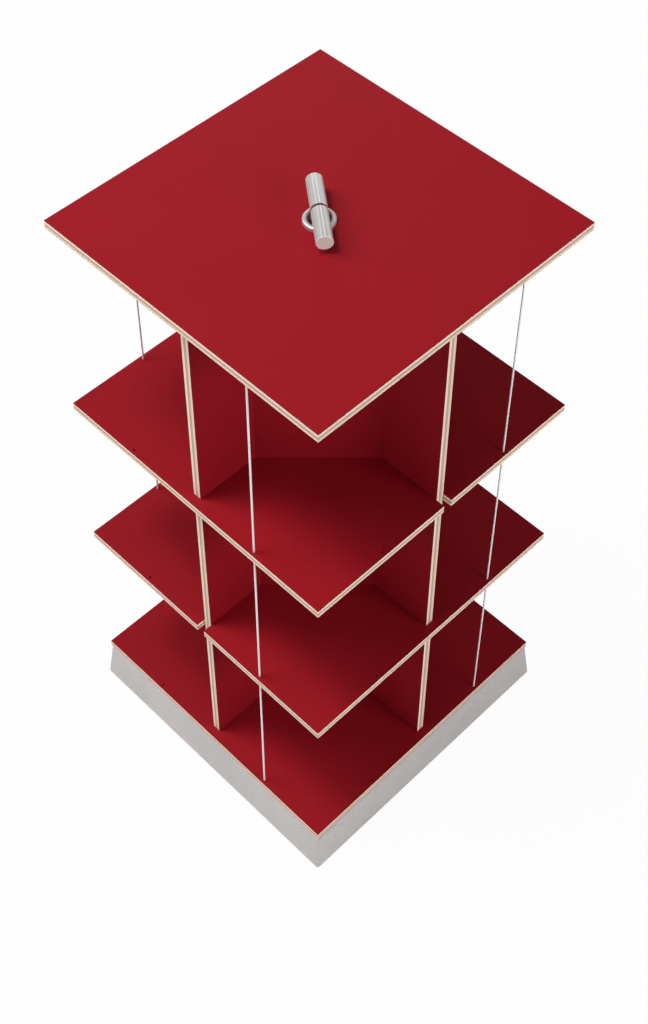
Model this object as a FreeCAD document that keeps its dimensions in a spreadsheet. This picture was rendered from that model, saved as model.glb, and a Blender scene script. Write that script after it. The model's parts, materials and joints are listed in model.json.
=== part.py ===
import FreeCAD, Part
import math
import os
from types import SimpleNamespace

import Sketcher
from FreeCAD import Placement, Rotation, Vector

# A revolving book tower. Four square laminated boards are stacked on a hollow square spine that is
# turned 45 degrees to them. Divider panels run from the spine's corners to the middle of each side,
# egg-crated through the shelves, and a thin rod on each side stops the end of the books. The tower
# turns on a ball race let into a cast plinth. A bar across a steel collar holds the cord that runs
# down the spine and keeps the stack together.
#
# Frame: millimetres, +Z up, origin in the middle of the plinth's underside. The boards' sides lie
# along X and Y. South is -Y, east is +X, north is +Y and west is -X.

DRIVING_SIZES = {
    # boards
    "board_side": 540,
    "board_thickness": 15,
    "board_arris": 0.5,
    "shelf_bore": 30,
    "lower_clear_height": 323,
    "middle_clear_height": 322,
    "top_clear_height": 376,
    # dividers and spine
    "divider_thickness": 15,
    "divider_setback": 16,
    "divider_arris": 0.4,
    "lap_clearance": 0.25,
    "spine_half_width": 106,
    "wall_thickness": 15,
    "housing_depth": 3,
    "housing_clearance": 0.1,
    # book stops
    "rod_diameter": 3,
    "rod_clearance": 0.25,
    "rod_inset": 7,
    "rod_from_corner": 138,
    "rod_seat_depth": 9,
    "rod_end_chamfer": 0.4,
    # handle
    "collar_diameter": 49,
    "collar_bore": 33,
    "collar_rim": 7.5,
    "collar_rim_round": 3,
    "collar_wall": 1.75,
    "collar_sleeve_length": 12,
    "collar_fit": 0.05,
    "bar_diameter": 25,
    "bar_length": 129,
    "bar_chamfer": 0.8,
    "bar_bearing_angle": 51.8,
    "bar_rest_gap": 0.3,
    "cord_diameter": 3.5,
    "cord_groove_width": 4,
    "cord_groove_gap": 0.1,
    "knot_diameter": 9,
    "swivel_diameter": 38,
    "swivel_thickness": 4,
    "swivel_chamfer": 0.5,
    "swivel_hole_gap": 0.2,
    # plinth
    "plinth_height": 82,
    "plinth_flare": 8.5,
    "plinth_round": 2,
    "turning_gap": 4,
    "recess_depth": 8,
    "recess_margin": 5,
    "pit_diameter": 60,
    "pit_depth": 12,
    # turntable
    "race_outer_diameter": 300,
    "race_inner_diameter": 200,
    "race_plate_thickness": 3,
    "ball_diameter": 8,
    "ball_play": 0.2,
    "cage_width": 12,
    "cage_thickness": 2.4,
    "cage_ball_play": 0.15,
    # turntable screws
    "screw_diameter": 3.5,
    "screw_head_diameter": 7,
    "screw_head_height": 2,
    "screw_play": 0.05,
    "screw_from_edge": 10,
    "upper_screw_length": 12,
    "lower_screw_length": 25,
    "plug_diameter": 6,
    "plug_length": 28,
    "plug_play": 0.05,
}

BALL_COUNT = 24
SCREW_COUNT = 4
SIDE_COUNT = 4
OPPOSITE_PAIR = 2
QUARTER_TURNS = (0, 90, 180, 270)
SIDES = ("east", "north", "west", "south")
CORNERS = ("north_east", "north_west", "south_west", "south_east")
SAME_PLACE = 0.01  # an edge this near to a place, in millimetres, lies at it


class Size:
    """A length or angle: its number now, and the expression over the sheet that it is bound to."""

    def __init__(self, number, text):
        self.number = number
        self.text = text

    @staticmethod
    def of(value):
        if isinstance(value, Size):
            return value
        return Size(value, repr(value))

    def __add__(self, other):
        other = Size.of(other)
        return Size(self.number + other.number, f"({self.text} + {other.text})")

    def __sub__(self, other):
        other = Size.of(other)
        return Size(self.number - other.number, f"({self.text} - {other.text})")

    def __mul__(self, other):
        other = Size.of(other)
        return Size(self.number * other.number, f"({self.text} * {other.text})")

    def __truediv__(self, other):
        other = Size.of(other)
        return Size(self.number / other.number, f"({self.text} / {other.text})")

    def __neg__(self):
        return Size(-self.number, f"(0 - {self.text})")


doc = FreeCAD.newDocument("BookTower")
sheet = doc.addObject("Spreadsheet::Sheet", "Sizes")
for row, (alias, value) in enumerate(DRIVING_SIZES.items(), start=1):
    sheet.set(f"A{row}", alias)
    sheet.set(f"B{row}", str(value))
    sheet.setAlias(f"B{row}", alias)
doc.recompute()

s = SimpleNamespace(
    **{alias: Size(float(value), f"Sizes.{alias}") for alias, value in DRIVING_SIZES.items()}
)
ZERO = Size(0.0, "0")
ROOT_TWO = Size(math.sqrt(2), "sqrt(2)")
parts = []

# ---------------------------------------------------------------- places that pieces share

half_side = s.board_side / 2
divider_front = half_side - s.divider_setback
half_divider = s.divider_thickness / 2
spine_inner_corner = (s.spine_half_width - s.wall_thickness) * ROOT_TWO
divider_inner_end = spine_inner_corner - half_divider
lap_line = (divider_front + divider_inner_end) / 2

base_board_z = s.plinth_height + s.turning_gap
lower_floor_z = base_board_z + s.board_thickness
lower_shelf_z = lower_floor_z + s.lower_clear_height
middle_floor_z = lower_shelf_z + s.board_thickness
upper_shelf_z = middle_floor_z + s.middle_clear_height
top_floor_z = upper_shelf_z + s.board_thickness
top_board_z = top_floor_z + s.top_clear_height
tower_top_z = top_board_z + s.board_thickness

rod_hole = s.rod_diameter + s.rod_clearance * 2
rod_line = half_side - s.rod_inset
rod_offset = half_side - s.rod_from_corner

collar_sleeve_diameter = s.collar_bore + s.collar_wall * 2
bar_axis_z = tower_top_z + s.collar_rim + s.bar_rest_gap + s.bar_diameter / 2
cord_radius = (s.bar_diameter - s.cord_diameter) / 2
groove_radius = s.bar_diameter / 2 - s.cord_diameter - s.cord_groove_gap
swivel_z = base_board_z - s.swivel_thickness
cord_end_z = swivel_z - s.knot_diameter / 2 - s.cord_groove_gap

recess_floor_z = s.plinth_height - s.recess_depth
upper_race_z = base_board_z - s.race_plate_thickness
ball_centre_z = (recess_floor_z + base_board_z) / 2
ball_circle = (s.race_outer_diameter + s.race_inner_diameter) / 2
race_groove = s.ball_diameter / 2 + s.ball_play
outer_screw_circle = s.race_outer_diameter / 2 - s.screw_from_edge
inner_screw_circle = s.race_inner_diameter / 2 + s.screw_from_edge


# ---------------------------------------------------------------- helpers


def new_body(label, z=ZERO, turn=0, turn_size=None):
    """A body with its own label, standing at height z and turned about Z by turn degrees."""
    body = doc.addObject("PartDesign::Body", label)
    body.Label = label
    body.Placement = Placement(Vector(0, 0, z.number), Rotation(Vector(0, 0, 1), turn))
    body.setExpression("Placement.Base.z", z.text)
    if turn_size is not None:
        body.setExpression("Placement.Rotation.Angle", turn_size.text)
    parts.append(body)
    return body


def origin_feature(body, role):
    return next(feature for feature in body.Origin.OriginFeatures if feature.Role == role)


def sketch_on(body, role, lift=ZERO):
    """A sketch on one of the body's own origin planes, lifted along the plane's normal."""
    sketch = body.newObject("Sketcher::SketchObject", "Sketch")
    sketch.AttachmentSupport = [(origin_feature(body, role), "")]
    sketch.MapMode = "FlatFace"
    sketch.setExpression("AttachmentOffset.Base.z", lift.text)
    return sketch


def pin(sketch, geometry, point, x, y):
    """Hold a point of the sketch at (x, y) from the sketch's origin."""
    for kind, place in (("DistanceX", x), ("DistanceY", y)):
        constraint = Sketcher.Constraint(kind, -1, 1, geometry, point, place.number)
        index = sketch.addConstraint(constraint)
        sketch.setExpression(f"Constraints[{index}]", place.text)


def draw_outline(sketch, corners):
    """A closed outline of straight lines through corners, each an (x, y) pair of sizes."""
    first = sketch.GeometryCount
    count = len(corners)
    places = [Vector(x.number, y.number, 0) for x, y in corners]
    for i in range(count):
        sketch.addGeometry(Part.LineSegment(places[i], places[(i + 1) % count]))
    for i in range(count):
        following = first + (i + 1) % count
        sketch.addConstraint(Sketcher.Constraint("Coincident", first + i, 2, following, 1))
    for i, (x, y) in enumerate(corners):
        pin(sketch, first + i, 1, x, y)


def draw_rectangle(sketch, x0, y0, x1, y1):
    draw_outline(sketch, [(x0, y0), (x1, y0), (x1, y1), (x0, y1)])


def draw_square(sketch, side):
    draw_rectangle(sketch, -(side / 2), -(side / 2), side / 2, side / 2)


def draw_circle(sketch, x, y, diameter):
    centre = Vector(x.number, y.number, 0)
    circle = Part.Circle(centre, Vector(0, 0, 1), diameter.number / 2)
    index = sketch.addGeometry(circle)
    pin(sketch, index, 3, x, y)
    size = sketch.addConstraint(Sketcher.Constraint("Diameter", index, diameter.number))
    sketch.setExpression(f"Constraints[{size}]", diameter.text)


def pad(body, sketch, length, both_ways=False):
    feature = body.newObject("PartDesign::Pad", "Pad")
    feature.Profile = sketch
    feature.setExpression("Length", length.text)
    feature.Midplane = both_ways
    doc.recompute()
    return feature


def cut(body, sketch, depth=None, upwards=False):
    """A pocket of the given depth, or right through, checked to take material away."""
    before = body.Shape.Volume
    feature = body.newObject("PartDesign::Pocket", "Pocket")
    feature.Profile = sketch
    feature.Reversed = upwards
    if depth is None:
        feature.Type = "ThroughAll"
    else:
        feature.setExpression("Length", depth.text)
    doc.recompute()
    if not body.Shape.Volume < before:
        raise RuntimeError(f"a cut in {body.Label} takes nothing away")
    return feature


def revolve(body, sketch, axis="V_Axis"):
    feature = body.newObject("PartDesign::Revolution", "Revolution")
    feature.Profile = sketch
    feature.ReferenceAxis = (sketch, [axis])
    feature.Angle = 360
    doc.recompute()
    return feature


def repeat_round(body, feature, count):
    """The feature repeated count times about the body's Z axis."""
    pattern = body.newObject("PartDesign::PolarPattern", "PolarPattern")
    pattern.Originals = [feature]
    pattern.Axis = (origin_feature(body, "Z_Axis"), [""])
    pattern.Angle = 360
    pattern.Occurrences = count
    body.Tip = pattern
    doc.recompute()
    return pattern


def edge_names(feature, wanted):
    """The names of the feature's edges for which wanted(edge) is true."""
    edges = enumerate(feature.Shape.Edges, start=1)
    return [f"Edge{i}" for i, edge in edges if wanted(edge)]


def ease_edges(body, feature, kind, size, wanted):
    """A chamfer or fillet of the given size on the wanted edges."""
    easing = body.newObject(f"PartDesign::{kind}", kind)
    easing.Base = (feature, edge_names(feature, wanted))
    easing.setExpression("Size" if kind == "Chamfer" else "Radius", size.text)
    doc.recompute()
    return easing


def is_upright(edge):
    """True for an edge that runs along Z or leans a little from it."""
    start, end = edge.Vertexes[0].Point, edge.Vertexes[-1].Point
    return abs(end.z - start.z) > math.hypot(end.x - start.x, end.y - start.y)


# ---------------------------------------------------------------- boards


def wall_outline(clearance=ZERO):
    """The plan of the north-east spine wall, its long faces moved out by the clearance."""
    outer = (s.spine_half_width + clearance) * ROOT_TWO - half_divider
    inner = (s.spine_half_width - s.wall_thickness - clearance) * ROOT_TWO - half_divider
    return [
        (outer, half_divider),
        (half_divider, outer),
        (half_divider, inner),
        (inner, half_divider),
    ]


def cut_wall_housings(body, lift, upwards):
    """Four shallow grooves for the ends of a tier's spine walls."""
    sketch = sketch_on(body, "XY_Plane", lift)
    draw_outline(sketch, wall_outline(s.housing_clearance))
    repeat_round(body, cut(body, sketch, s.housing_depth, upwards), SIDE_COUNT)


def cut_divider_housings(body, lift, upwards, count=SIDE_COUNT, first_side="east"):
    """Stopped grooves for divider ends, evenly spaced round the body from its first side."""
    sketch = sketch_on(body, "XY_Plane", lift)
    near, far = divider_inner_end, divider_front + s.housing_clearance
    side = half_divider + s.housing_clearance
    if first_side == "east":
        draw_rectangle(sketch, near, -side, far, side)
    else:
        draw_rectangle(sketch, -side, near, side, far)
    repeat_round(body, cut(body, sketch, s.housing_depth, upwards), count)


def cut_rod_holes(body, lift, depth=None, upwards=False):
    """Two holes on each side, one for the rod and one spare for the other hand."""
    sketch = sketch_on(body, "XY_Plane", lift)
    draw_circle(sketch, rod_line, rod_offset, rod_hole)
    draw_circle(sketch, rod_line, -rod_offset, rod_hole)
    repeat_round(body, cut(body, sketch, depth, upwards), SIDE_COUNT)


def make_board(label, z, bore, turn=0):
    """A square board with eased edges and a round hole in its middle."""
    body = new_body(label, z, turn)
    outline = sketch_on(body, "XY_Plane")
    draw_square(outline, s.board_side)
    blank = pad(body, outline, s.board_thickness)
    ease_edges(body, blank, "Chamfer", s.board_arris, lambda edge: True)
    hole = sketch_on(body, "XY_Plane", s.board_thickness)
    draw_circle(hole, ZERO, ZERO, bore)
    cut(body, hole)
    return body


def make_base_board():
    body = make_board("base_board", base_board_z, s.shelf_bore)
    cut_rod_holes(body, s.board_thickness, s.rod_seat_depth)
    cut_wall_housings(body, s.board_thickness, False)
    cut_divider_housings(body, s.board_thickness, False)
    pilot = sketch_on(body, "XY_Plane")
    draw_circle(pilot, inner_screw_circle, ZERO, s.screw_diameter + s.screw_play * 2)
    pilot_depth = s.upper_screw_length - s.race_plate_thickness + s.screw_play
    repeat_round(body, cut(body, pilot, pilot_depth, True), SCREW_COUNT)


def make_shelf(label, z, turn):
    """A shelf slotted on two opposite sides, where the tall dividers lap through it."""
    body = make_board(label, z, s.shelf_bore, turn)
    cut_rod_holes(body, s.board_thickness)
    slot = sketch_on(body, "XY_Plane", s.board_thickness)
    side = half_divider + s.lap_clearance
    draw_rectangle(slot, lap_line, -side, half_side + s.divider_setback, side)
    repeat_round(body, cut(body, slot), OPPOSITE_PAIR)
    for lift, upwards in ((s.board_thickness, False), (ZERO, True)):
        cut_wall_housings(body, lift, upwards)
        cut_divider_housings(body, lift, upwards, OPPOSITE_PAIR, "north")


def make_top_board():
    bore = collar_sleeve_diameter + s.collar_fit * 2
    body = make_board("top_board", top_board_z, bore)
    cut_rod_holes(body, ZERO, s.rod_seat_depth, True)
    cut_wall_housings(body, ZERO, True)
    cut_divider_housings(body, ZERO, True)


# ---------------------------------------------------------------- dividers, spine and rods


def make_divider(label, turn, floor_z, ceiling_z, shelf_z=None):
    """A divider panel between two boards, notched where it laps through a shelf between them."""
    foot_z = floor_z - s.housing_depth
    height = ceiling_z + s.housing_depth - foot_z
    body = new_body(label, foot_z, turn)
    outline = sketch_on(body, "XZ_Plane")
    corners = [
        (divider_inner_end, ZERO),
        (divider_front, ZERO),
        (divider_front, height),
        (divider_inner_end, height),
    ]
    if shelf_z is not None:
        notch_foot = shelf_z - foot_z
        notch_head = notch_foot + s.board_thickness + s.lap_clearance
        notch_end = lap_line + s.lap_clearance
        corners += [
            (divider_inner_end, notch_head),
            (notch_end, notch_head),
            (notch_end, notch_foot),
            (divider_inner_end, notch_foot),
        ]
    draw_outline(outline, corners)
    panel = pad(body, outline, s.divider_thickness, both_ways=True)
    front = divider_front.number

    def on_front(edge):
        return is_upright(edge) and abs(edge.CenterOfMass.x - front) < SAME_PLACE

    ease_edges(body, panel, "Chamfer", s.divider_arris, on_front)


def make_spine_wall(tier, corner, turn, floor_z, ceiling_z):
    """One of a tier's four spine walls, its ends bevelled to lie against the dividers."""
    foot_z = floor_z - s.housing_depth
    body = new_body(f"spine_wall_{tier}_{corner}", foot_z, turn)
    outline = sketch_on(body, "XY_Plane")
    draw_outline(outline, wall_outline())
    pad(body, outline, ceiling_z + s.housing_depth - foot_z)


def make_stop_rod(side, turn):
    """A thin round rod from the base board's hole, through both shelves, to the top board's."""
    foot_z = lower_floor_z - s.rod_seat_depth
    body = new_body(f"{side}_stop_rod", foot_z, turn)
    section = sketch_on(body, "XY_Plane")
    draw_circle(section, rod_line, rod_offset, s.rod_diameter)
    bar = pad(body, section, top_board_z + s.rod_seat_depth - foot_z)
    ease_edges(body, bar, "Chamfer", s.rod_end_chamfer, lambda edge: not is_upright(edge))


# ---------------------------------------------------------------- handle


def make_handle_collar():
    """A flanged bush: a flat rim on the top board and a sleeve down into its hole."""
    body = new_body("handle_collar", tower_top_z)
    profile = sketch_on(body, "XZ_Plane")
    bore = s.collar_bore / 2
    sleeve = collar_sleeve_diameter / 2
    rim = s.collar_diameter / 2
    corners = [
        (bore, -s.collar_sleeve_length),
        (sleeve, -s.collar_sleeve_length),
        (sleeve, ZERO),
        (rim, ZERO),
        (rim, s.collar_rim),
        (bore, s.collar_rim),
    ]
    draw_outline(profile, corners)
    bush = revolve(body, profile)

    def on_rim_top(edge):
        return edge.Closed and abs(edge.CenterOfMass.z - s.collar_rim.number) < SAME_PLACE

    ease_edges(body, bush, "Fillet", s.collar_rim_round, on_rim_top)


def make_handle_bar():
    """A round bar with a groove round its middle, in which the cord sits flush."""
    body = new_body("handle_bar", bar_axis_z, s.bar_bearing_angle.number, s.bar_bearing_angle)
    profile = sketch_on(body, "XZ_Plane")
    end = s.bar_length / 2
    radius = s.bar_diameter / 2
    groove = s.cord_groove_width / 2
    right_half = [
        (groove, groove_radius),
        (groove, radius),
        (end - s.bar_chamfer, radius),
        (end, radius - s.bar_chamfer),
        (end, ZERO),
    ]
    left_half = [(-x, y) for x, y in reversed(right_half)]
    draw_outline(profile, left_half + right_half)
    revolve(body, profile, "H_Axis")


def make_handle_cord():
    """A hairpin of cord over the bar, both legs down the spine to a knot under the swivel disc."""
    body = new_body("handle_cord", bar_axis_z, s.bar_bearing_angle.number, s.bar_bearing_angle)
    drop = bar_axis_z - cord_end_z
    reach = cord_radius.number
    foot = -drop.number
    path = sketch_on(body, "YZ_Plane")
    up = path.addGeometry(Part.LineSegment(Vector(reach, foot, 0), Vector(reach, 0, 0)))
    over = Part.Arc(Vector(reach, 0, 0), Vector(0, reach, 0), Vector(-reach, 0, 0))
    bend = path.addGeometry(over)
    down = path.addGeometry(Part.LineSegment(Vector(-reach, 0, 0), Vector(-reach, foot, 0)))
    pin(path, up, 1, cord_radius, -drop)
    pin(path, up, 2, cord_radius, ZERO)
    pin(path, down, 2, -cord_radius, -drop)
    path.addConstraint(Sketcher.Constraint("Coincident", bend, 3, -1, 1))
    path.addConstraint(Sketcher.Constraint("Coincident", bend, 1, up, 2))
    path.addConstraint(Sketcher.Constraint("Coincident", bend, 2, down, 1))
    path.addConstraint(Sketcher.Constraint("PointOnObject", down, 1, -1))
    section = sketch_on(body, "XY_Plane", -drop)
    draw_circle(section, ZERO, cord_radius, s.cord_diameter)
    tube = body.newObject("PartDesign::AdditivePipe", "Cord")
    tube.Profile = section
    tube.Spine = (path, [])
    doc.recompute()
    for side in (cord_radius, -cord_radius):
        knot = body.newObject("PartDesign::AdditiveSphere", "Knot")
        knot.setExpression("Radius", (s.knot_diameter / 2).text)
        knot.setExpression("Placement.Base.y", side.text)
        knot.setExpression("Placement.Base.z", (-drop).text)
        doc.recompute()


def make_swivel_disc():
    """The disc under the base board that the cord's knots pull against, and that turns with them."""
    body = new_body("cord_swivel_disc", swivel_z, s.bar_bearing_angle.number, s.bar_bearing_angle)
    outline = sketch_on(body, "XY_Plane")
    draw_circle(outline, ZERO, ZERO, s.swivel_diameter)
    disc = pad(body, outline, s.swivel_thickness)
    ease_edges(body, disc, "Chamfer", s.swivel_chamfer, lambda edge: edge.Closed)
    holes = sketch_on(body, "XY_Plane", s.swivel_thickness)
    for side in (cord_radius, -cord_radius):
        draw_circle(holes, ZERO, side, s.cord_diameter + s.swivel_hole_gap * 2)
    cut(body, holes)


# ---------------------------------------------------------------- plinth and turntable


def make_plinth():
    """The cast plinth: flush with the boards at its top and flared towards the floor."""
    body = new_body("plinth")
    head = half_side
    foot = half_side + s.plinth_flare
    block = body.newObject("PartDesign::AdditiveWedge", "Block")
    block.Placement = Placement(Vector(0, 0, 0), Rotation(Vector(1, 0, 0), 90))
    limits = {"Xmin": -foot, "Xmax": foot, "Zmin": -foot, "Zmax": foot}
    limits |= {"X2min": -head, "X2max": head, "Z2min": -head, "Z2max": head}
    limits |= {"Ymin": ZERO, "Ymax": s.plinth_height}
    for name, limit in limits.items():
        block.setExpression(name, limit.text)
    doc.recompute()
    ease_edges(body, block, "Fillet", s.plinth_round, lambda edge: True)
    recess = sketch_on(body, "XY_Plane", s.plinth_height)
    draw_circle(recess, ZERO, ZERO, s.race_outer_diameter + s.recess_margin * 2)
    cut(body, recess, s.recess_depth)
    pit = sketch_on(body, "XY_Plane", recess_floor_z)
    draw_circle(pit, ZERO, ZERO, s.pit_diameter)
    cut(body, pit, s.pit_depth)
    plug_hole = sketch_on(body, "XY_Plane", recess_floor_z)
    draw_circle(plug_hole, outer_screw_circle, ZERO, s.plug_diameter + s.plug_play * 2)
    repeat_round(body, cut(body, plug_hole, s.plug_length), SCREW_COUNT)


def make_race_plate(label, z, ball_height, screw_circle, heads_up):
    """A flat steel ring with a race groove for the balls and countersunk screw holes."""
    body = new_body(label, z)
    outline = sketch_on(body, "XY_Plane")
    draw_circle(outline, ZERO, ZERO, s.race_outer_diameter)
    draw_circle(outline, ZERO, ZERO, s.race_inner_diameter)
    pad(body, outline, s.race_plate_thickness)
    before = body.Shape.Volume
    section = sketch_on(body, "XZ_Plane")
    draw_circle(section, ball_circle / 2, ball_height, race_groove * 2)
    race = body.newObject("PartDesign::Groove", "Race")
    race.Profile = section
    race.ReferenceAxis = (section, ["V_Axis"])
    race.Angle = 360
    doc.recompute()
    if not body.Shape.Volume < before:
        raise RuntimeError(f"the race in {label} takes nothing away")
    head_radius = s.screw_head_diameter / 2 + s.screw_play
    shank_radius = s.screw_diameter / 2 + s.screw_play
    thickness = s.race_plate_thickness
    head_z = thickness if heads_up else ZERO
    neck_z = thickness - s.screw_head_height if heads_up else s.screw_head_height
    far_z = ZERO if heads_up else thickness
    before = body.Shape.Volume
    countersink = sketch_on(body, "XZ_Plane")
    corners = [
        (screw_circle, head_z),
        (screw_circle + head_radius, head_z),
        (screw_circle + shank_radius, neck_z),
        (screw_circle + shank_radius, far_z),
        (screw_circle, far_z),
    ]
    draw_outline(countersink, corners)
    hole = body.newObject("PartDesign::Groove", "ScrewHole")
    hole.Profile = countersink
    hole.ReferenceAxis = (countersink, ["Edge5"])
    hole.Angle = 360
    doc.recompute()
    if not body.Shape.Volume < before:
        raise RuntimeError(f"a screw hole in {label} takes nothing away")
    repeat_round(body, hole, SCREW_COUNT)


def make_ball_cage():
    """The ring that keeps the balls apart, with a round pocket for each."""
    body = new_body("turntable_ball_cage", ball_centre_z - s.cage_thickness / 2)
    outline = sketch_on(body, "XY_Plane")
    draw_circle(outline, ZERO, ZERO, ball_circle + s.cage_width)
    draw_circle(outline, ZERO, ZERO, ball_circle - s.cage_width)
    pad(body, outline, s.cage_thickness)
    pocket = sketch_on(body, "XY_Plane", s.cage_thickness)
    draw_circle(pocket, ball_circle / 2, ZERO, s.ball_diameter + s.cage_ball_play * 2)
    repeat_round(body, cut(body, pocket), BALL_COUNT)


def make_balls():
    body = new_body("turntable_balls", ball_centre_z)
    body.AllowCompound = True
    ball = body.newObject("PartDesign::AdditiveSphere", "Ball")
    ball.setExpression("Radius", (s.ball_diameter / 2).text)
    ball.setExpression("Placement.Base.x", (ball_circle / 2).text)
    doc.recompute()
    repeat_round(body, ball, BALL_COUNT)


def make_screws(label, head_z, circle, length, points_up):
    """A ring of countersunk screws; head_z is the flat of the heads."""
    body = new_body(label, head_z)
    body.AllowCompound = True
    head = s.screw_head_diameter / 2
    shank = s.screw_diameter / 2

    def along(distance):
        return distance if points_up else -distance

    corners = [
        (circle, ZERO),
        (circle + head, ZERO),
        (circle + shank, along(s.screw_head_height)),
        (circle + shank, along(length - shank)),
        (circle, along(length)),
    ]
    profile = sketch_on(body, "XZ_Plane")
    draw_outline(profile, corners)
    repeat_round(body, revolve(body, profile, "Edge5"), SCREW_COUNT)


def make_plugs():
    """Plastic plugs in the plinth that the lower race's screws bite into."""
    body = new_body("lower_race_plugs", recess_floor_z - s.plug_length)
    body.AllowCompound = True
    section = sketch_on(body, "XY_Plane")
    draw_circle(section, outer_screw_circle, ZERO, s.plug_diameter)
    draw_circle(section, outer_screw_circle, ZERO, s.screw_diameter + s.screw_play * 2)
    repeat_round(body, pad(body, section, s.plug_length), SCREW_COUNT)


# ---------------------------------------------------------------- the whole tower

make_plinth()
make_base_board()
make_shelf("lower_shelf", lower_shelf_z, 0)
make_shelf("upper_shelf", upper_shelf_z, 90)
make_top_board()

for side, turn in zip(SIDES, QUARTER_TURNS):
    if side in ("east", "west"):
        make_divider(f"{side}_tall_divider", turn, lower_floor_z, upper_shelf_z, lower_shelf_z)
        make_divider(f"{side}_top_divider", turn, top_floor_z, top_board_z)
    else:
        make_divider(f"{side}_tall_divider", turn, middle_floor_z, top_board_z, upper_shelf_z)
        make_divider(f"{side}_low_divider", turn, lower_floor_z, lower_shelf_z)
    make_stop_rod(side, turn)

TIERS = {
    "lower": (lower_floor_z, lower_shelf_z),
    "middle": (middle_floor_z, upper_shelf_z),
    "top": (top_floor_z, top_board_z),
}
for tier, (floor_z, ceiling_z) in TIERS.items():
    for corner, turn in zip(CORNERS, QUARTER_TURNS):
        make_spine_wall(tier, corner, turn, floor_z, ceiling_z)

make_handle_collar()
make_handle_bar()
make_handle_cord()
make_swivel_disc()

lower_ball_height = ball_centre_z - recess_floor_z
upper_ball_height = ball_centre_z - upper_race_z
make_race_plate("turntable_lower_race", recess_floor_z, lower_ball_height, outer_screw_circle, True)
make_race_plate("turntable_upper_race", upper_race_z, upper_ball_height, inner_screw_circle, False)
make_ball_cage()
make_balls()
lower_head_z = recess_floor_z + s.race_plate_thickness
make_screws("lower_race_screws", lower_head_z, outer_screw_circle, s.lower_screw_length, False)
make_screws("upper_race_screws", upper_race_z, inner_screw_circle, s.upper_screw_length, True)
make_plugs()

doc.recompute()
for item in doc.Objects:
    if "Invalid" in item.State or "Error" in item.State:
        raise RuntimeError(f"{item.Label} failed: {item.State}")
for body in parts:
    if body.Shape.isNull() or not body.Shape.isValid():
        raise RuntimeError(f"{body.Label} has no valid shape")

os.makedirs("parts", exist_ok=True)
for body in parts:
    body.Shape.exportStep(os.path.join("parts", f"{body.Label}.step"))
print(f"{len(parts)} nodes, {tower_top_z.number:.1f} mm to the top board")
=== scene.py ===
"""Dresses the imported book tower: its laminated boards, spine, book stops, handle, plinth and turntable."""

import json
import logging
import math
from collections.abc import Callable, Sequence
from dataclasses import dataclass, field
from enum import Enum

import bmesh
import bpy
from mathutils import Matrix, Vector

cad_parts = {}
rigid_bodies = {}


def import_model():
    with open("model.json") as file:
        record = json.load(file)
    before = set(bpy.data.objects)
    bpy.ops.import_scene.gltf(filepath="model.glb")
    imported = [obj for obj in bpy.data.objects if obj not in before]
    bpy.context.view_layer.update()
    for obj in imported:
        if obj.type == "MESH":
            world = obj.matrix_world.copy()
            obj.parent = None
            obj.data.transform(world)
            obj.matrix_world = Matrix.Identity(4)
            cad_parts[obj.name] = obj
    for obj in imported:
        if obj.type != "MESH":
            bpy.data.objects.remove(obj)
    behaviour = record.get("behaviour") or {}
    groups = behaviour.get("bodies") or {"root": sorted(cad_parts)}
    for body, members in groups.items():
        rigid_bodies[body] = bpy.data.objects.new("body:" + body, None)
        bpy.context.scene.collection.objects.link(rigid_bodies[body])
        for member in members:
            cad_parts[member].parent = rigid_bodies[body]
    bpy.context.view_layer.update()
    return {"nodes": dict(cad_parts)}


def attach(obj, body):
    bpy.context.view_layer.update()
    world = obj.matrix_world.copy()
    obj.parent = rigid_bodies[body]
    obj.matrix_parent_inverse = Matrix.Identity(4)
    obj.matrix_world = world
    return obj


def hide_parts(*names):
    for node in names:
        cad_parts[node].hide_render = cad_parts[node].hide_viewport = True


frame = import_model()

log = logging.getLogger("book_tower")

MM = 0.001
SHEET_DEPTH = "sheet_depth"
FULL_TURN = 2 * math.pi
QUARTER_TURN = math.pi / 2
SMOOTH_LIMIT = math.radians(32)
SIDES = ("east", "north", "west", "south")
CORNERS = ("north_east", "north_west", "south_west", "south_east")
TIERS = ("lower", "middle", "top")

Colour = tuple[float, float, float]


class Body(Enum):
    """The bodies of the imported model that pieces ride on."""

    PLINTH = "plinth"
    BALL_RACE = "ball_race"
    TOWER = "tower"
    HANDLE = "handle"


class Slot(Enum):
    """The names of the record's material slots for the dressed pieces."""

    BOARD = "laminated_board"
    PANEL = "laminated_panel"
    CONCRETE = "cast_concrete"
    HANDLE = "handle_steel"
    ROD = "rod_steel"
    CORD = "red_cord"
    RACE = "race_steel"
    BALL = "ball_steel"
    SCREW = "screw_steel"
    PLUG = "plug_plastic"


class Brushing(Enum):
    """How the fine lines run on a metal surface: their pattern's scale along X, Y and Z."""

    LENGTHWISE = (26.0, 2300.0, 2300.0)
    UPRIGHT = (2600.0, 2600.0, 30.0)
    TURNED = (2600.0, 0.0, 1900.0)


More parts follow.
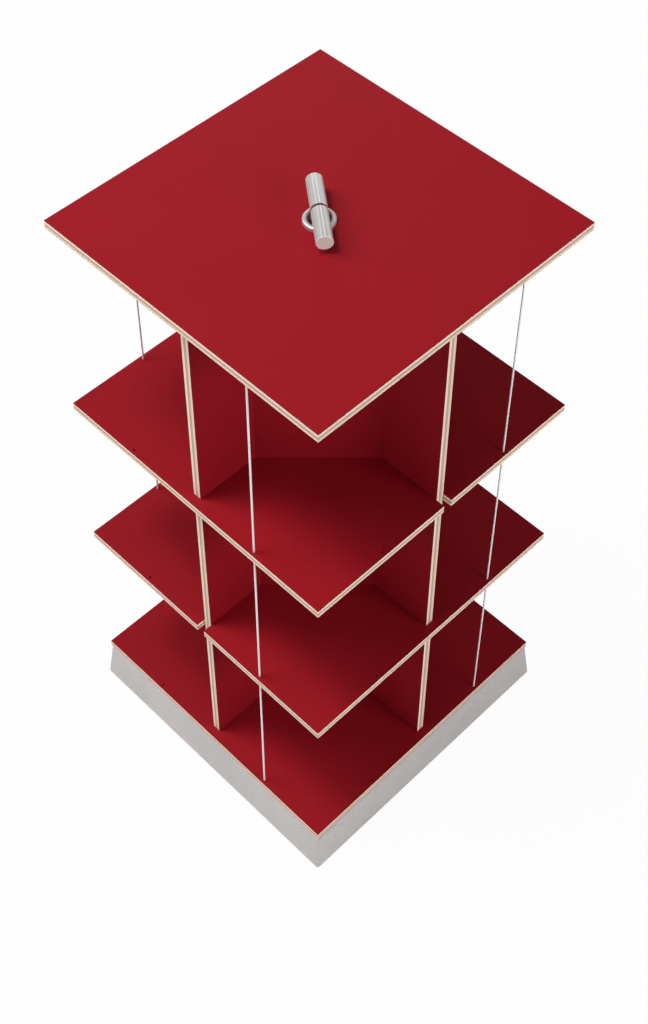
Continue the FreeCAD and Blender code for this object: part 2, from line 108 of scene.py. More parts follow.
@dataclass(frozen=True)
class TowerSizes:
    """The sizes that the sub-assemblies share, and the places that follow from them."""

    half_side: float = 270 * MM
    thickness: float = 15 * MM
    laminate: float = 0.6 * MM
    plinth_height: float = 82 * MM
    turning_gap: float = 4 * MM
    recess_depth: float = 8 * MM
    clear_heights: tuple[float, float, float] = (323 * MM, 322 * MM, 376 * MM)
    front: float = 254 * MM
    spine_half: float = 106 * MM
    housing: float = 3 * MM
    play: float = 0.1 * MM
    lap_play: float = 0.25 * MM
    rod_line: float = 263 * MM
    rod_offset: float = 132 * MM
    rod_seat: float = 9 * MM
    race_plate: float = 3 * MM
    plug_circle: float = 140 * MM
    pilot_circle: float = 110 * MM
    bearing: float = math.radians(51.8)

    @property
    def base(self) -> float:
        """The height of the base board's underside."""
        return self.plinth_height + self.turning_gap

    @property
    def recess_floor(self) -> float:
        """The height of the floor of the plinth's recess."""
        return self.plinth_height - self.recess_depth

    @property
    def half_sheet(self) -> float:
        """Half a sheet's thickness."""
        return self.thickness / 2

    @property
    def inner_end(self) -> float:
        """How far from the axis the dividers end."""
        return (self.spine_half - self.thickness) * math.sqrt(2) - self.half_sheet

    @property
    def lap_line(self) -> float:
        """How far from the axis a tall divider and its shelf change places."""
        return (self.front + self.inner_end) / 2

    def floor(self, tier: int) -> float:
        """The height of a tier's floor, counted from 0; tier 3 is the top of the tower."""
        return self.base + self.thickness * (tier + 1) + sum(self.clear_heights[:tier])

    def ceiling(self, tier: int) -> float:
        """The height of a tier's ceiling."""
        return self.floor(tier) + self.clear_heights[tier]


# ------------------------------------------------------------------ node trees


def operator(operation: str, swapped: bool = False) -> Callable[..., "Wire"]:
    """A method of Wire that adds a Math node.

    Args:
        operation: what the node does.
        swapped: whether the other value comes first.

    Returns:
        The method.
    """

    def method(self: "Wire", *others: "Wire | float") -> "Wire":
        """The node's result for this value and the others."""
        values = (*others, self) if swapped else (self, *others)
        return self.tree.node("ShaderNodeMath", {"operation": operation}, dict(enumerate(values)))

    return method


class Wire:
    """An output of a node, whose arithmetic adds Math nodes to the same tree."""

    __add__ = __radd__ = operator("ADD")
    __sub__ = operator("SUBTRACT")
    __rsub__ = operator("SUBTRACT", swapped=True)
    __mul__ = __rmul__ = operator("MULTIPLY")
    __truediv__ = operator("DIVIDE")
    __mod__ = operator("MODULO")
    __abs__ = operator("ABSOLUTE")
    floor = operator("FLOOR")
    sine = operator("SINE")
    cosine = operator("COSINE")
    folded = operator("PINGPONG")

    def __init__(self, tree: "Tree", socket: bpy.types.NodeSocket) -> None:
        """Wraps one output socket.

        Args:
            tree: the tree that the node is in.
            socket: the output that this wire comes from.
        """
        self.tree = tree
        self.socket = socket

    def to_nearest(self, step: float) -> "Wire":
        """The distance to the nearest multiple of a step."""
        return self.folded(step / 2)

    def swing(self, width: float) -> "Wire":
        """A value from 0 to 1 as one that swings about 0, this wide in all."""
        return (self - 0.5) * width

    def rise(self, low: float, high: float) -> "Wire":
        """A smooth step.

        Args:
            low: the value at which the step is still 0.
            high: the value from which it is 1.

        Returns:
            The step, from 0 to 1.
        """
        settings = {"interpolation_type": "SMOOTHSTEP"}
        return self.tree.node("ShaderNodeMapRange", settings, {0: self, 1: low, 2: high})

    def fall(self, low: float, high: float) -> "Wire":
        """A smooth step down, from 1 at low to 0 at high."""
        return 1 - self.rise(low, high)

    def beside(self, output: str) -> "Wire":
        """Another output of the same node."""
        return Wire(self.tree, self.socket.node.outputs[output])


class Tree:
    """A node tree in the making."""

    def __init__(self, group: bpy.types.NodeTree) -> None:
        """Takes over a tree.

        Args:
            group: the tree, still empty.
        """
        self.group = group

    def node(self, kind: str, settings: dict, inputs: dict, output: str | int = 0) -> Wire:
        """Adds a node.

        Args:
            kind: the node's type.
            settings: its properties, set before its sockets; "stops" holds a ramp's places and colours.
            inputs: values or wires, by the socket's name or number.
            output: the output that is wanted, by name or number.

        Returns:
            That output.
        """
        made = self.group.nodes.new(kind)
        for name, value in settings.items():
            if name == "stops":
                self._set_stops(made.color_ramp, value)
            else:
                setattr(made, name, value)
        for key, value in inputs.items():
            if isinstance(value, Wire):
                self.link(value, made.inputs[key])
            else:
                made.inputs[key].default_value = value
        return Wire(self, made.outputs[output])

    @staticmethod
    def _set_stops(ramp: bpy.types.ColorRamp, stops: list[tuple[float, Colour]]) -> None:
        """Gives a ramp its stops, which hold each colour up to the next one.

        Args:
            ramp: the ramp.
            stops: each stop's place and colour.
        """
        ramp.interpolation = "CONSTANT"
        while len(ramp.elements) < len(stops):
            ramp.elements.new(1.0)
        for element, (place, colour) in zip(ramp.elements, stops):
            element.position = place
            element.color = (*colour, 1.0)

    def link(self, wire: Wire, socket: bpy.types.NodeSocket) -> None:
        """Leads a wire to an input."""
        self.group.links.new(wire.socket, socket)

    def vector(self, operation: str, first: Wire, second: Wire | tuple) -> Wire:
        """A Vector Math node on two vectors."""
        return self.node("ShaderNodeVectorMath", {"operation": operation}, {0: first, 1: second})


class Graph(Tree):
    """The nodes of a material or of the world."""

    def __init__(self, owner: bpy.types.Material | bpy.types.World) -> None:
        """Takes over the owner's nodes, and starts with none.

        Args:
            owner: what the nodes belong to.
        """
        owner.use_nodes = True
        owner.node_tree.nodes.clear()
        super().__init__(owner.node_tree)
        self.owner = owner

    @classmethod
    def material(cls, name: str) -> "Graph":
        """The graph of a new material."""
        return cls(bpy.data.materials.new(name))

    @property
    def place(self) -> Wire:
        """The object coordinates."""
        return self.node("ShaderNodeTexCoord", {}, {}, "Object")

    def scaled(self, x: float, y: float, z: float, turn: float = 0.0) -> Wire:
        """The object coordinates turned about Z and then scaled.

        Args:
            x: the scale along X.
            y: the scale along Y.
            z: the scale along Z.
            turn: the angle of the pattern's own X axis.

        Returns:
            The coordinates as a vector.
        """
        inputs = {"Vector": self.place, "Angle": -turn}
        turned_place = self.node("ShaderNodeVectorRotate", {"rotation_type": "Z_AXIS"}, inputs)
        return self.vector("MULTIPLY", turned_place, (x, y, z))

    def part(self, vector: Wire, axis: str) -> Wire:
        """One coordinate of a vector."""
        return self.node("ShaderNodeSeparateXYZ", {}, {0: vector}, axis)

    def noise(self, vector: Wire, scale: float, detail: float = 2.0, rough: float = 0.5) -> Wire:
        """Soft noise from 0 to 1."""
        inputs = {"Vector": vector, "Scale": scale, "Detail": detail, "Roughness": rough}
        return self.node("ShaderNodeTexNoise", {}, inputs, "Fac")

    def cells(self, vector: Wire, scale: float) -> Wire:
        """The distance from the middle of the nearest of many scattered cells."""
        return self.node("ShaderNodeTexVoronoi", {}, {"Vector": vector, "Scale": scale}, "Distance")

    def mix(self, share: Wire, first: Wire | Colour, second: Wire | Colour) -> Wire:
        """A mix of two colours, by the share of the second."""
        inputs = {0: share, 6: self._paint(first), 7: self._paint(second)}
        return self.node("ShaderNodeMix", {"data_type": "RGBA"}, inputs, 2)

    def shade(self, colour: Wire | Colour, level: Wire) -> Wire:
        """Makes a colour lighter or darker.

        Args:
            colour: the colour.
            level: what it is multiplied by.

        Returns:
            The new colour.
        """
        settings = {"data_type": "RGBA", "blend_type": "MULTIPLY"}
        level_colour = self.node("ShaderNodeCombineColor", {}, {0: level, 1: level, 2: level})
        inputs = {0: 1.0, 6: self._paint(colour), 7: level_colour}
        return self.node("ShaderNodeMix", settings, inputs, 2)

    @staticmethod
    def _paint(colour: Wire | Colour) -> Wire | tuple:
        """A colour socket's value, with its fourth number."""
        return colour if isinstance(colour, Wire) else (*colour, 1.0)

    def finish(self, height: Wire, relief: float, **sockets: Wire | float) -> bpy.types.Material:
        """Ends the graph in a Principled shader with a bump.

        Args:
            height: the surface's height, about 0 to 1.
            relief: how high 1 stands, in metres.
            sockets: the shader's values or wires, with _ for each space in a name.

        Returns:
            The material.
        """
        normal = self.node("ShaderNodeBump", {}, {"Height": height, "Distance": relief, "Strength": 1.0})
        inputs = {name.replace("_", " "): value for name, value in sockets.items()}
        return self.close(self.node("ShaderNodeBsdfPrincipled", {}, {**inputs, "Normal": normal}))

    def close(self, shader: Wire) -> bpy.types.Material | bpy.types.World:
        """Links a shader to the output.

        Args:
            shader: the shader.

        Returns:
            The material or the world that the nodes belong to.
        """
        kind = "World" if isinstance(self.owner, bpy.types.World) else "Material"
        self.link(shader, self.group.nodes.new(f"ShaderNodeOutput{kind}").inputs["Surface"])
        return self.owner

    def background_rays(self) -> Wire:
        """Finds the rays that see the background itself: from the camera, a mirror or a glass.

        Returns:
            1 for those rays and 0 for the others.
        """
        rays = ("Is Camera Ray", "Is Glossy Ray", "Is Transmission Ray")
        camera, glossy, through = (self.node("ShaderNodeLightPath", {}, {}, ray) for ray in rays)
        return self.node("ShaderNodeClamp", {}, {0: camera + glossy + through})


# ------------------------------------------------------------------ finishes


@dataclass(frozen=True)
class LaminatedPly:
    """A birch ply sheet with coloured laminate on both faces; its edges are bare and sanded."""

    name: str
    red: Colour = (0.268, 0.0076, 0.0138)
    # The dark line where the laminate meets the edge; the same colour paints the rod holes' walls as painted
    # shade.
    edge_line_and_hole_shade: Colour = (0.134, 0.0071, 0.0089)
    glue: Colour = (0.330, 0.210, 0.120)
    plies: tuple[Colour, ...] = (
        (0.950, 0.715, 0.595),
        (0.830, 0.610, 0.460),
        (0.900, 0.680, 0.530),
        (0.460, 0.362, 0.258),
        (0.540, 0.428, 0.318),
        (0.450, 0.352, 0.250),
        (0.950, 0.735, 0.610),
        (0.930, 0.710, 0.590),
        (0.970, 0.785, 0.685),
    )
    thickness: float = TowerSizes.thickness
    laminate: float = TowerSizes.laminate
    soft_line: float = 0.03 * MM
    glue_share: float = 0.35
    waver: float = 0.022
    waver_scale: float = 28.0
    grain_scale: float = 36.0
    fibre_scale: float = 2400.0
    pore_scale: float = 1500.0
    cloud_scale: float = 7.0
    grit_scale: float = 2600.0
    relief: float = 0.035 * MM
    roughness: float = 0.62
    shine: float = 0.045

    def _wood(self, graph: Graph, place: Wire, grain: Wire) -> Wire:
        """The bare edge's colour.

        Args:
            graph: the material's graph.
            place: the place between the two laminates, from 0 to 1.
            grain: how light the grain is.

        Returns:
            The plies' colours, with their glue lines and grain.
        """
        count = len(self.plies)
        layer = place + graph.noise(graph.place, self.waver_scale, 1.0).swing(self.waver)
        stops = [(i / count, ply) for i, ply in enumerate(self.plies)]
        tone = graph.node("ShaderNodeValToRGB", {"stops": stops}, {"Fac": layer}, "Color")
        seam = (layer * count).to_nearest(1.0).fall(0.02, 0.11)
        return graph.shade(graph.mix(seam * self.glue_share, tone, self.glue), grain)

    def material(self) -> bpy.types.Material:
        """Makes the material, which reads the distance from the sheet's middle.

        Returns:
            The material.
        """
        graph = Graph.material(self.name)
        settings = {"attribute_type": "GEOMETRY", "attribute_name": SHEET_DEPTH}
        depth = graph.node("ShaderNodeAttribute", settings, {}, "Fac")
        half = self.thickness / 2
        core_half = half - self.laminate
        on_laminate = abs(depth).rise(core_half - self.soft_line, core_half + self.soft_line)
        # This mask picks the laminate's dark edge line near the faces, and also the rod holes' walls, which
        # SheetEdge.mark sets just inside the laminate as painted shade.
        edge_line_and_hole_shade_mask = abs(depth).fall(half - 4 * self.soft_line, half - self.soft_line)

        across = graph.node("ShaderNodeCombineXYZ", {}, {"Z": depth * self.fibre_scale})
        along = graph.vector("ADD", graph.scaled(*[self.grain_scale] * 3), across)
        streaks = graph.noise(along, 1.0, 4.0, 0.6)
        pores = graph.cells(graph.place, self.pore_scale).fall(0.10, 0.34)
        grain = 0.90 + streaks * 0.26 - pores * 0.14
        wood = self._wood(graph, (depth + core_half) / (2 * core_half), grain)

        clouds = graph.noise(graph.place, self.cloud_scale, 3.0)
        grit = graph.noise(graph.place, self.grit_scale, 2.0)
        red = graph.shade(self.red, 0.985 + clouds.swing(0.06) + grit.swing(0.05))
        skin = graph.mix(edge_line_and_hole_shade_mask, red, self.edge_line_and_hole_shade)
        return graph.finish(
            grit * on_laminate * 0.35 + (streaks * 0.6 - pores) * (1 - on_laminate),
            self.relief,
            Base_Color=graph.mix(on_laminate, wood, skin),
            Roughness=self.roughness + streaks.swing(0.14) - on_laminate * (0.08 - clouds.swing(0.05)),
            Specular_IOR_Level=self.shine,
        )


@dataclass(frozen=True)
class CastConcrete:
    """Light grey fair-faced concrete with fine sand, soft clouds and small pores."""

    name: str
    grey: Colour = (0.585, 0.557, 0.545)
    dark: Colour = (0.429, 0.407, 0.396)
    cloud_scale: float = 9.0
    patch_scale: float = 34.0
    mottle_scale: float = 430.0
    sand_scale: float = 1300.0
    speck_scale: float = 620.0
    pinhole_scale: float = 165.0
    relief: float = 0.16 * MM
    roughness: float = 0.80
    shine: float = 0.30

    def material(self) -> bpy.types.Material:
        """Makes the material.

        Returns:
            The material.
        """
        graph = Graph.material(self.name)
        clouds = graph.noise(graph.place, self.cloud_scale, 5.0, 0.62)
        patches = graph.noise(graph.scaled(1.0, 1.0, 3.0), self.patch_scale, 3.0)
        mottle = graph.noise(graph.place, self.mottle_scale, 2.0)
        sand = graph.noise(graph.place, self.sand_scale, 3.0, 0.7)
        specks = graph.cells(graph.place, self.speck_scale).fall(0.08, 0.20)
        pinholes = graph.cells(graph.place, self.pinhole_scale).fall(0.055, 0.095)
        share = (clouds - 0.36).rise(0.0, 0.42) * 0.26 + patches.swing(0.16) + specks * 0.18
        tone = graph.shade(graph.mix(share, self.grey, self.dark), 0.65 + sand * 0.16 + mottle * 0.54)
        # The pinholes are dented by the bump and also painted towards the dark grey, as painted shade inside
        # them.
        return graph.finish(
            sand * 0.30 + clouds * 0.4 - pinholes * 0.9,
            self.relief,
            Base_Color=graph.mix(pinholes * 0.55, tone, self.dark),
            Roughness=self.roughness + sand.swing(0.18),
            Specular_IOR_Level=self.shine,
        )


@dataclass(frozen=True)
class BrushedMetal:
    """Bare metal with fine lines and, on a bar, broad lengthwise bands that are partly drawn marks and partly
    painted reflection streaks, and end faces painted light as a painted highlight.
    """

    name: str
    tint: Colour
    brushing: Brushing
    metallic: float
    roughness: float = 0.34
    bearing: float = 0.0
    relief: float = 0.0015 * MM
    haze_scale: float = 90.0
    band_scale: float = 0.12
    mark_and_reflection_banding: float = 0.0
    end_highlight_at: float = 0.0
    face_margin: float = 0.1 * MM
    face_fade: float = 0.3 * MM
    end_highlight: Colour = (0.800, 0.910, 0.880)

    def _lines(self, graph: Graph) -> Wire:
        """Lays out the lines, long in one direction and fine across it.

        Args:
            graph: the material's graph.

        Returns:
            The coordinates for the lines' pattern.
        """
        if self.brushing is not Brushing.TURNED:
            return graph.scaled(*self.brushing.value, self.bearing)
        flat = graph.vector("MULTIPLY", graph.place, (1.0, 1.0, 0.0))
        reach = graph.node("ShaderNodeVectorMath", {"operation": "LENGTH"}, {0: flat}, "Value")
        outwards, _, upwards = self.brushing.value
        inputs = {"X": reach * outwards, "Z": graph.part(graph.place, "Z") * upwards}
        return graph.node("ShaderNodeCombineXYZ", {}, inputs)

    def material(self) -> bpy.types.Material:
        """Makes the material.

        Returns:
            The material.
        """
        graph = Graph.material(self.name)
        run = self._lines(graph)
        lines = graph.noise(run, 1.0, 4.0, 0.65)
        # Broad lengthwise light and dark bands: partly drawn marks, partly painted reflection streaks.
        marks_and_reflection_bands = graph.noise(run, self.band_scale, 1.0).rise(0.40, 0.60)
        haze = graph.noise(graph.place, self.haze_scale, 2.0)
        tone = graph.shade(self.tint, 0.90 + lines * 0.14 + haze.swing(0.06) + marks_and_reflection_bands.swing(self.mark_and_reflection_banding))
        # Painted highlight: the end faces are painted much lighter and greenish, standing in for the light
        # that they catch.
        if self.end_highlight_at:
            along = abs(graph.part(graph.scaled(1.0, 1.0, 1.0, self.bearing), "X"))
            edge = self.end_highlight_at - self.face_margin
            tone = graph.mix(along.rise(edge - self.face_fade, edge), tone, self.end_highlight)
        return graph.finish(
            lines,
            self.relief,
            Base_Color=tone,
            Roughness=self.roughness + lines.swing(0.16) + haze.swing(0.07),
            Metallic=self.metallic,
        )


@dataclass(frozen=True)
class BraidedCord:
    """Dyed braided cord, each strand a bundle of fine fibres."""

    name: str
    dye: Colour = (0.103, 0.0054, 0.0232)
    faded: Colour = (0.210, 0.022, 0.052)
    fibre_scales: tuple[float, float, float] = (5200.0, 5200.0, 1400.0)
    fuzz_scale: float = 3000.0
    relief: float = 0.05 * MM
    roughness: float = 0.84
    sheen: float = 0.35

    def material(self) -> bpy.types.Material:
        """Makes the material.

        Returns:
            The material.
        """
        graph = Graph.material(self.name)
        fibres = graph.noise(graph.scaled(*self.fibre_scales), 1.0, 3.0, 0.7)
        fuzz = graph.noise(graph.place, self.fuzz_scale, 2.0)
        return graph.finish(
            fibres,
            self.relief,
            Base_Color=graph.mix(fibres * 0.55 + fuzz * 0.2, self.dye, self.faded),
            Roughness=self.roughness + fuzz.swing(0.16),
            Sheen_Weight=self.sheen,
        )


@dataclass(frozen=True)
class ZincPlate:
    """Bright zinc plating with a faint spangle and handling marks."""

    name: str
    tint: Colour = (0.570, 0.585, 0.600)
    warm: Colour = (0.500, 0.470, 0.390)
    passivated: float = 0.10
    spangle_scale: float = 260.0
    stain_scale: float = 60.0
    scuff_scales: tuple[float, float, float] = (2400.0, 180.0, 600.0)
    scuff_turn: float = 0.6
    relief: float = 0.008 * MM
    roughness: float = 0.34

    def material(self) -> bpy.types.Material:
        """Makes the material.

        Returns:
            The material.
        """
        graph = Graph.material(self.name)
        spangle = graph.cells(graph.place, self.spangle_scale)
        stain = graph.noise(graph.place, self.stain_scale, 4.0, 0.6)
        scuffs = graph.noise(graph.scaled(*self.scuff_scales, self.scuff_turn), 1.0, 3.0)
        plating = graph.mix(self.passivated + stain.swing(0.30), self.tint, self.warm)
        return graph.finish(
            scuffs * 0.6 + spangle * 0.4,
            self.relief,
            Base_Color=graph.shade(plating, 0.88 + spangle * 0.30),
            Roughness=self.roughness + stain.swing(0.16) + scuffs.swing(0.10),
            Metallic=1.0,
        )


@dataclass(frozen=True)
class PolishedSteel:
    """Hard polished steel with a trace of grease on it."""

    name: str
    tint: Colour = (0.640, 0.645, 0.655)
    smear_scale: float = 420.0
    relief: float = 0.002 * MM
    roughness: float = 0.08

    def material(self) -> bpy.types.Material:
        """Makes the material.

        Returns:
            The material.
        """
        graph = Graph.material(self.name)
        smear = graph.noise(graph.place, self.smear_scale, 3.0)
        return graph.finish(
            smear,
            self.relief,
            Base_Color=graph.shade(self.tint, 0.92 + smear * 0.12),
            Roughness=self.roughness + smear.rise(0.45, 0.75) * 0.16,
            Metallic=1.0,
        )


@dataclass(frozen=True)
class MouldedPlastic:
    """Moulded engineering plastic with a fine spark-eroded texture."""

    name: str
    tint: Colour
    grain_scale: float = 1800.0
    flow_scale: float = 45.0
    relief: float = 0.03 * MM
    roughness: float = 0.50

    def material(self) -> bpy.types.Material:
        """Makes the material.

        Returns:
            The material.
        """
        graph = Graph.material(self.name)
        grain = graph.noise(graph.place, self.grain_scale, 2.0)
        flow = graph.noise(graph.scaled(1.0, 1.0, 4.0), self.flow_scale, 2.0)
        return graph.finish(
            grain,
            self.relief,
            Base_Color=graph.shade(self.tint, 0.88 + flow * 0.16 + grain * 0.08),
            Roughness=self.roughness + grain.swing(0.20),
        )


# ------------------------------------------------------------------ flat outlines and points


def left_of(direction: Vector) -> Vector:
    """A flat direction turned left by a quarter turn."""
    return Vector((-direction.y, direction.x))


def walk(outline: list[Vector]) -> list[tuple[Vector, Vector, Vector]]:
    """Each corner of an outline with the directions of the sides before and after it."""
    sides = [(corner - outline[i - 1]).normalized() for i, corner in enumerate(outline)]
    return list(zip(outline, sides, sides[1:] + sides[:1]))


def inset(outline: list[Vector], distance: float) -> list[Vector]:
    """Moves every side of an anticlockwise outline inwards.

    Args:
        outline: its corners.
        distance: how far the sides move.

    Returns:
        The new corners, as many as before.
    """
    moved = []
    for corner, before, after in walk(outline):
        first, second = left_of(before), left_of(after)
        moved.append(corner + (first + second) * distance / (1 + first.dot(second)))
    return moved


def rounded(outline: list[Vector], radius: float, steps: int = 3) -> list[Vector]:
    """Turns the outward corners of an anticlockwise outline into arcs.

    Args:
        outline: its corners.
        radius: the arcs' radius.
        steps: the straight pieces in each arc.

    Returns:
        The outline with the arcs' points.
    """
    made = []
    for corner, before, after in walk(outline):
        turn = math.atan2(before.cross(after), before.dot(after))
        if turn <= 0:
            made.append(corner)
            continue
        reach = radius * math.tan(turn / 2)
        start = corner - before * reach
        centre = start + left_of(before) * radius
        arm = start - centre
        made += [centre + Matrix.Rotation(turn * i / steps, 2) @ arm for i in range(steps + 1)]
    return made


def points(*pairs: tuple[float, float]) -> list[Vector]:
    """Flat points from pairs of numbers."""
    return [Vector(pair) for pair in pairs]


def rectangle(x0: float, y0: float, x1: float, y1: float) -> list[Vector]:
    """An anticlockwise rectangle between two corners."""
    return points((x0, y0), (x1, y0), (x1, y1), (x0, y1))


def turned(outline: list[Vector], quarters: int) -> list[Vector]:
    """An outline turned about the axis by quarter turns."""
    return [Matrix.Rotation(QUARTER_TURN * quarters, 2) @ corner for corner in outline]


def raised(outline: list[Vector], height: float) -> list[Vector]:
    """A flat outline at a height."""
    return [corner.to_3d() + Vector((0, 0, height)) for corner in outline]


def on_each_side(spots: list[Vector]) -> list[Vector]:
    """Spots on the east side and the same ones on the other sides."""
    return [spot for i in range(len(SIDES)) for spot in turned(spots, i)]


def circle(radius: float, height: float, sides: int) -> list[Vector]:
    """Points round the Z axis; a radius of 0 gives just one."""
    angles = [FULL_TURN * i / sides for i in range(sides if radius > 0 else 1)]
    return [Vector((radius * math.cos(a), radius * math.sin(a), height)) for a in angles]


def arc(x: float, y: float, radius: float, start: float, end: float, steps: int = 4) -> list:
    """Points on an arc about (x, y), its angles in degrees."""
    angles = [math.radians(start + (end - start) * i / steps) for i in range(steps + 1)]
    return [(x + radius * math.cos(angle), y + radius * math.sin(angle)) for angle in angles]


def eased(radius: float, steps: int) -> list[tuple[float, float]]:
    """A lower edge's rounding, as pairs of inset and height."""
    angles = [QUARTER_TURN * i / steps for i in range(steps + 1)]
    return [(radius * (1 - math.sin(a)), radius * (1 - math.cos(a))) for a in angles]


def chamfered(radius: float, low: float, high: float, chamfer: float) -> list[tuple[float, float]]:
    """Draws the profile of a round bar with chamfered ends.

    Args:
        radius: its radius.
        low: where it starts along its axis.
        high: where it ends.
        chamfer: the chamfers' width.

    Returns:
        Pairs of radius and place along the axis.
    """
    nose = radius - chamfer
    start = [(0.0, low), (nose, low), (radius, low + chamfer)]
    return start + [(radius, high - chamfer), (nose, high), (0.0, high)]


def quarter_arm(radius: float | Vector) -> float | Vector:
    """How long the handles of a Bezier quarter circle are."""
    return radius * 4 / 3 * math.tan(QUARTER_TURN / 4)


def towards(azimuth: float, elevation: float) -> Vector:
    """The direction at two angles."""
    flat = math.cos(elevation)
    return Vector((flat * math.cos(azimuth), flat * math.sin(azimuth), math.sin(elevation)))


# ------------------------------------------------------------------ meshes


def smooth(mesh: bpy.types.Mesh) -> None:
    """Shades a mesh smooth but for its sharp edges."""
    mesh.shade_smooth()
    mesh.set_sharp_from_angle(angle=SMOOTH_LIMIT)


def to_mesh(bm: bmesh.types.BMesh, name: str) -> bpy.types.Mesh:
    """Ends a bmesh with its faces outwards, smooth but for its sharp edges.

    Args:
        bm: the shape, which is used up.
        name: the mesh's name.

    Returns:
        The mesh.
    """
    bmesh.ops.recalc_face_normals(bm, faces=bm.faces)
    mesh = bpy.data.meshes.new(name)
    bm.to_mesh(mesh)
    bm.free()
    smooth(mesh)
    return mesh


def loft(rings: list[list[Vector]], name: str, loop: bool = False) -> bpy.types.Mesh:
    """A closed mesh through rings of points; a ring of one point is a pole.

    Args:
        rings: the rings, each with as many points as the others or just one.
        name: the mesh's name.
        loop: whether the last ring joins the first one, in place of two caps.

    Returns:
        The mesh.
    """
    bm = bmesh.new()
    made = [[bm.verts.new(point) for point in ring] for ring in rings]
    for low, high in zip(made, made[1:] + made[:1] if loop else made[1:]):
        count = max(len(low), len(high))
        for i in range(count):
            j = (i + 1) % count
            corners = [low[i % len(low)], low[j % len(low)], high[j % len(high)], high[i % len(high)]]
            bm.faces.new(list(dict.fromkeys(corners)))
    if not loop:
        for ring in (made[0], made[-1]):
            if len(ring) > 1:
                bm.faces.new(ring)
    return to_mesh(bm, name)


def lathe(profile: list[tuple[float, float]], name: str, sides: int = 64, loop: bool = False,
          axis: Matrix = Matrix.Identity(4)) -> bpy.types.Mesh:
    """A shape turned about an axis.

    Args:
        profile: pairs of radius and place along the axis.
        name: the mesh's name.
        sides: the steps round it.
        loop: whether the profile closes on itself, as in a ring.
        axis: where the shape's own Z axis stands.

    Returns:
        The mesh.
    """
    rings = [[axis @ point for point in circle(radius, along, sides)] for radius, along in profile]
    return loft(rings, name, loop)


def prism(outline: list[Vector], low: float, high: float) -> bpy.types.Mesh:
    """An upright block over an outline, between two heights."""
    return loft([raised(outline, low), raised(outline, high)], "prism")


def joined(meshes: list[bpy.types.Mesh], name: str) -> bpy.types.Mesh:
    """Makes one mesh of several, which it takes the place of.

    Args:
        meshes: the meshes.
        name: the new mesh's name.

    Returns:
        The new mesh.
    """
    bm = bmesh.new()
    for mesh in meshes:
        bm.from_mesh(mesh)
        bpy.data.meshes.remove(mesh)
    return to_mesh(bm, name)


def placed(data: bpy.types.ID, name: str = "scratch") -> bpy.types.Object:
    """Puts a new object in the scene.

    Args:
        data: its mesh, curve, lamp or camera.
        name: the object's name.

    Returns:
        The object.
    """
    made = bpy.data.objects.new(name, data)
    bpy.context.scene.collection.objects.link(made)
    return made


def discard(thing: bpy.types.Object) -> None:
    """Removes an object and the shape that only it used.

    Args:
        thing: the object.
    """
    shape = thing.data
    bpy.data.objects.remove(thing)
    if shape.users == 0:
        bpy.data.batch_remove([shape])


def baked(source: bpy.types.Object, name: str) -> bpy.types.Mesh:
    """Makes an object's evaluated shape a plain mesh.

    Args:
        source: the object, which is removed.
        name: the mesh's name.

    Returns:
        The mesh.
    """
    evaluated = source.evaluated_get(bpy.context.evaluated_depsgraph_get())
    mesh = bpy.data.meshes.new_from_object(evaluated)
    source.modifiers.clear()
    discard(source)
    mesh.name = name
    return mesh


def carved(mesh: bpy.types.Mesh, cutters: list[bpy.types.Mesh]) -> bpy.types.Mesh:
    """A mesh with other closed meshes taken out of it.

    Args:
        mesh: the blank.
        cutters: what is taken away; none of them touches another.

    Returns:
        The carved mesh.
    """
    name = mesh.name
    block = placed(mesh)
    tool = placed(joined(cutters, "cutter"))
    cut = block.modifiers.new("cut", "BOOLEAN")
    cut.operation = "DIFFERENCE"
    cut.solver = "EXACT"
    cut.object = tool
    made = baked(block, name)
    discard(tool)
    smooth(made)
    return made


def borer(spot: Vector, radius: float, low: float, high: float, flare: float,
          flare_low: bool, flare_high: bool) -> bpy.types.Mesh:
    """A drill's shape, flared where it breaks a face.

    Args:
        spot: the place of its axis.
        radius: the hole's radius.
        low: the lower face or the hole's floor.
        high: the upper face or the hole's ceiling.
        flare: the width of the eased rim.
        flare_low: whether the hole breaks the lower face.
        flare_high: whether the hole breaks the upper face.

    Returns:
        The cutter.
    """
    beyond, wide = 1 * MM, 10 * MM
    lower = [(radius + flare + beyond, low - beyond), (radius + flare, low), (radius, low + flare)]
    upper = [(radius, high - flare), (radius + flare, high), (radius + flare + beyond, high + beyond)]
    wall = lower if flare_low else [(radius, low)]
    wall = wall + (upper if flare_high else [(radius, high)])
    profile = [(0.0, wall[0][1]), *wall, (0.0, wall[-1][1])]
    sides = 40 if radius > wide else 20
    return lathe(profile, "borer", sides, axis=Matrix.Translation(spot.to_3d()))


# ------------------------------------------------------------------ geometry nodes


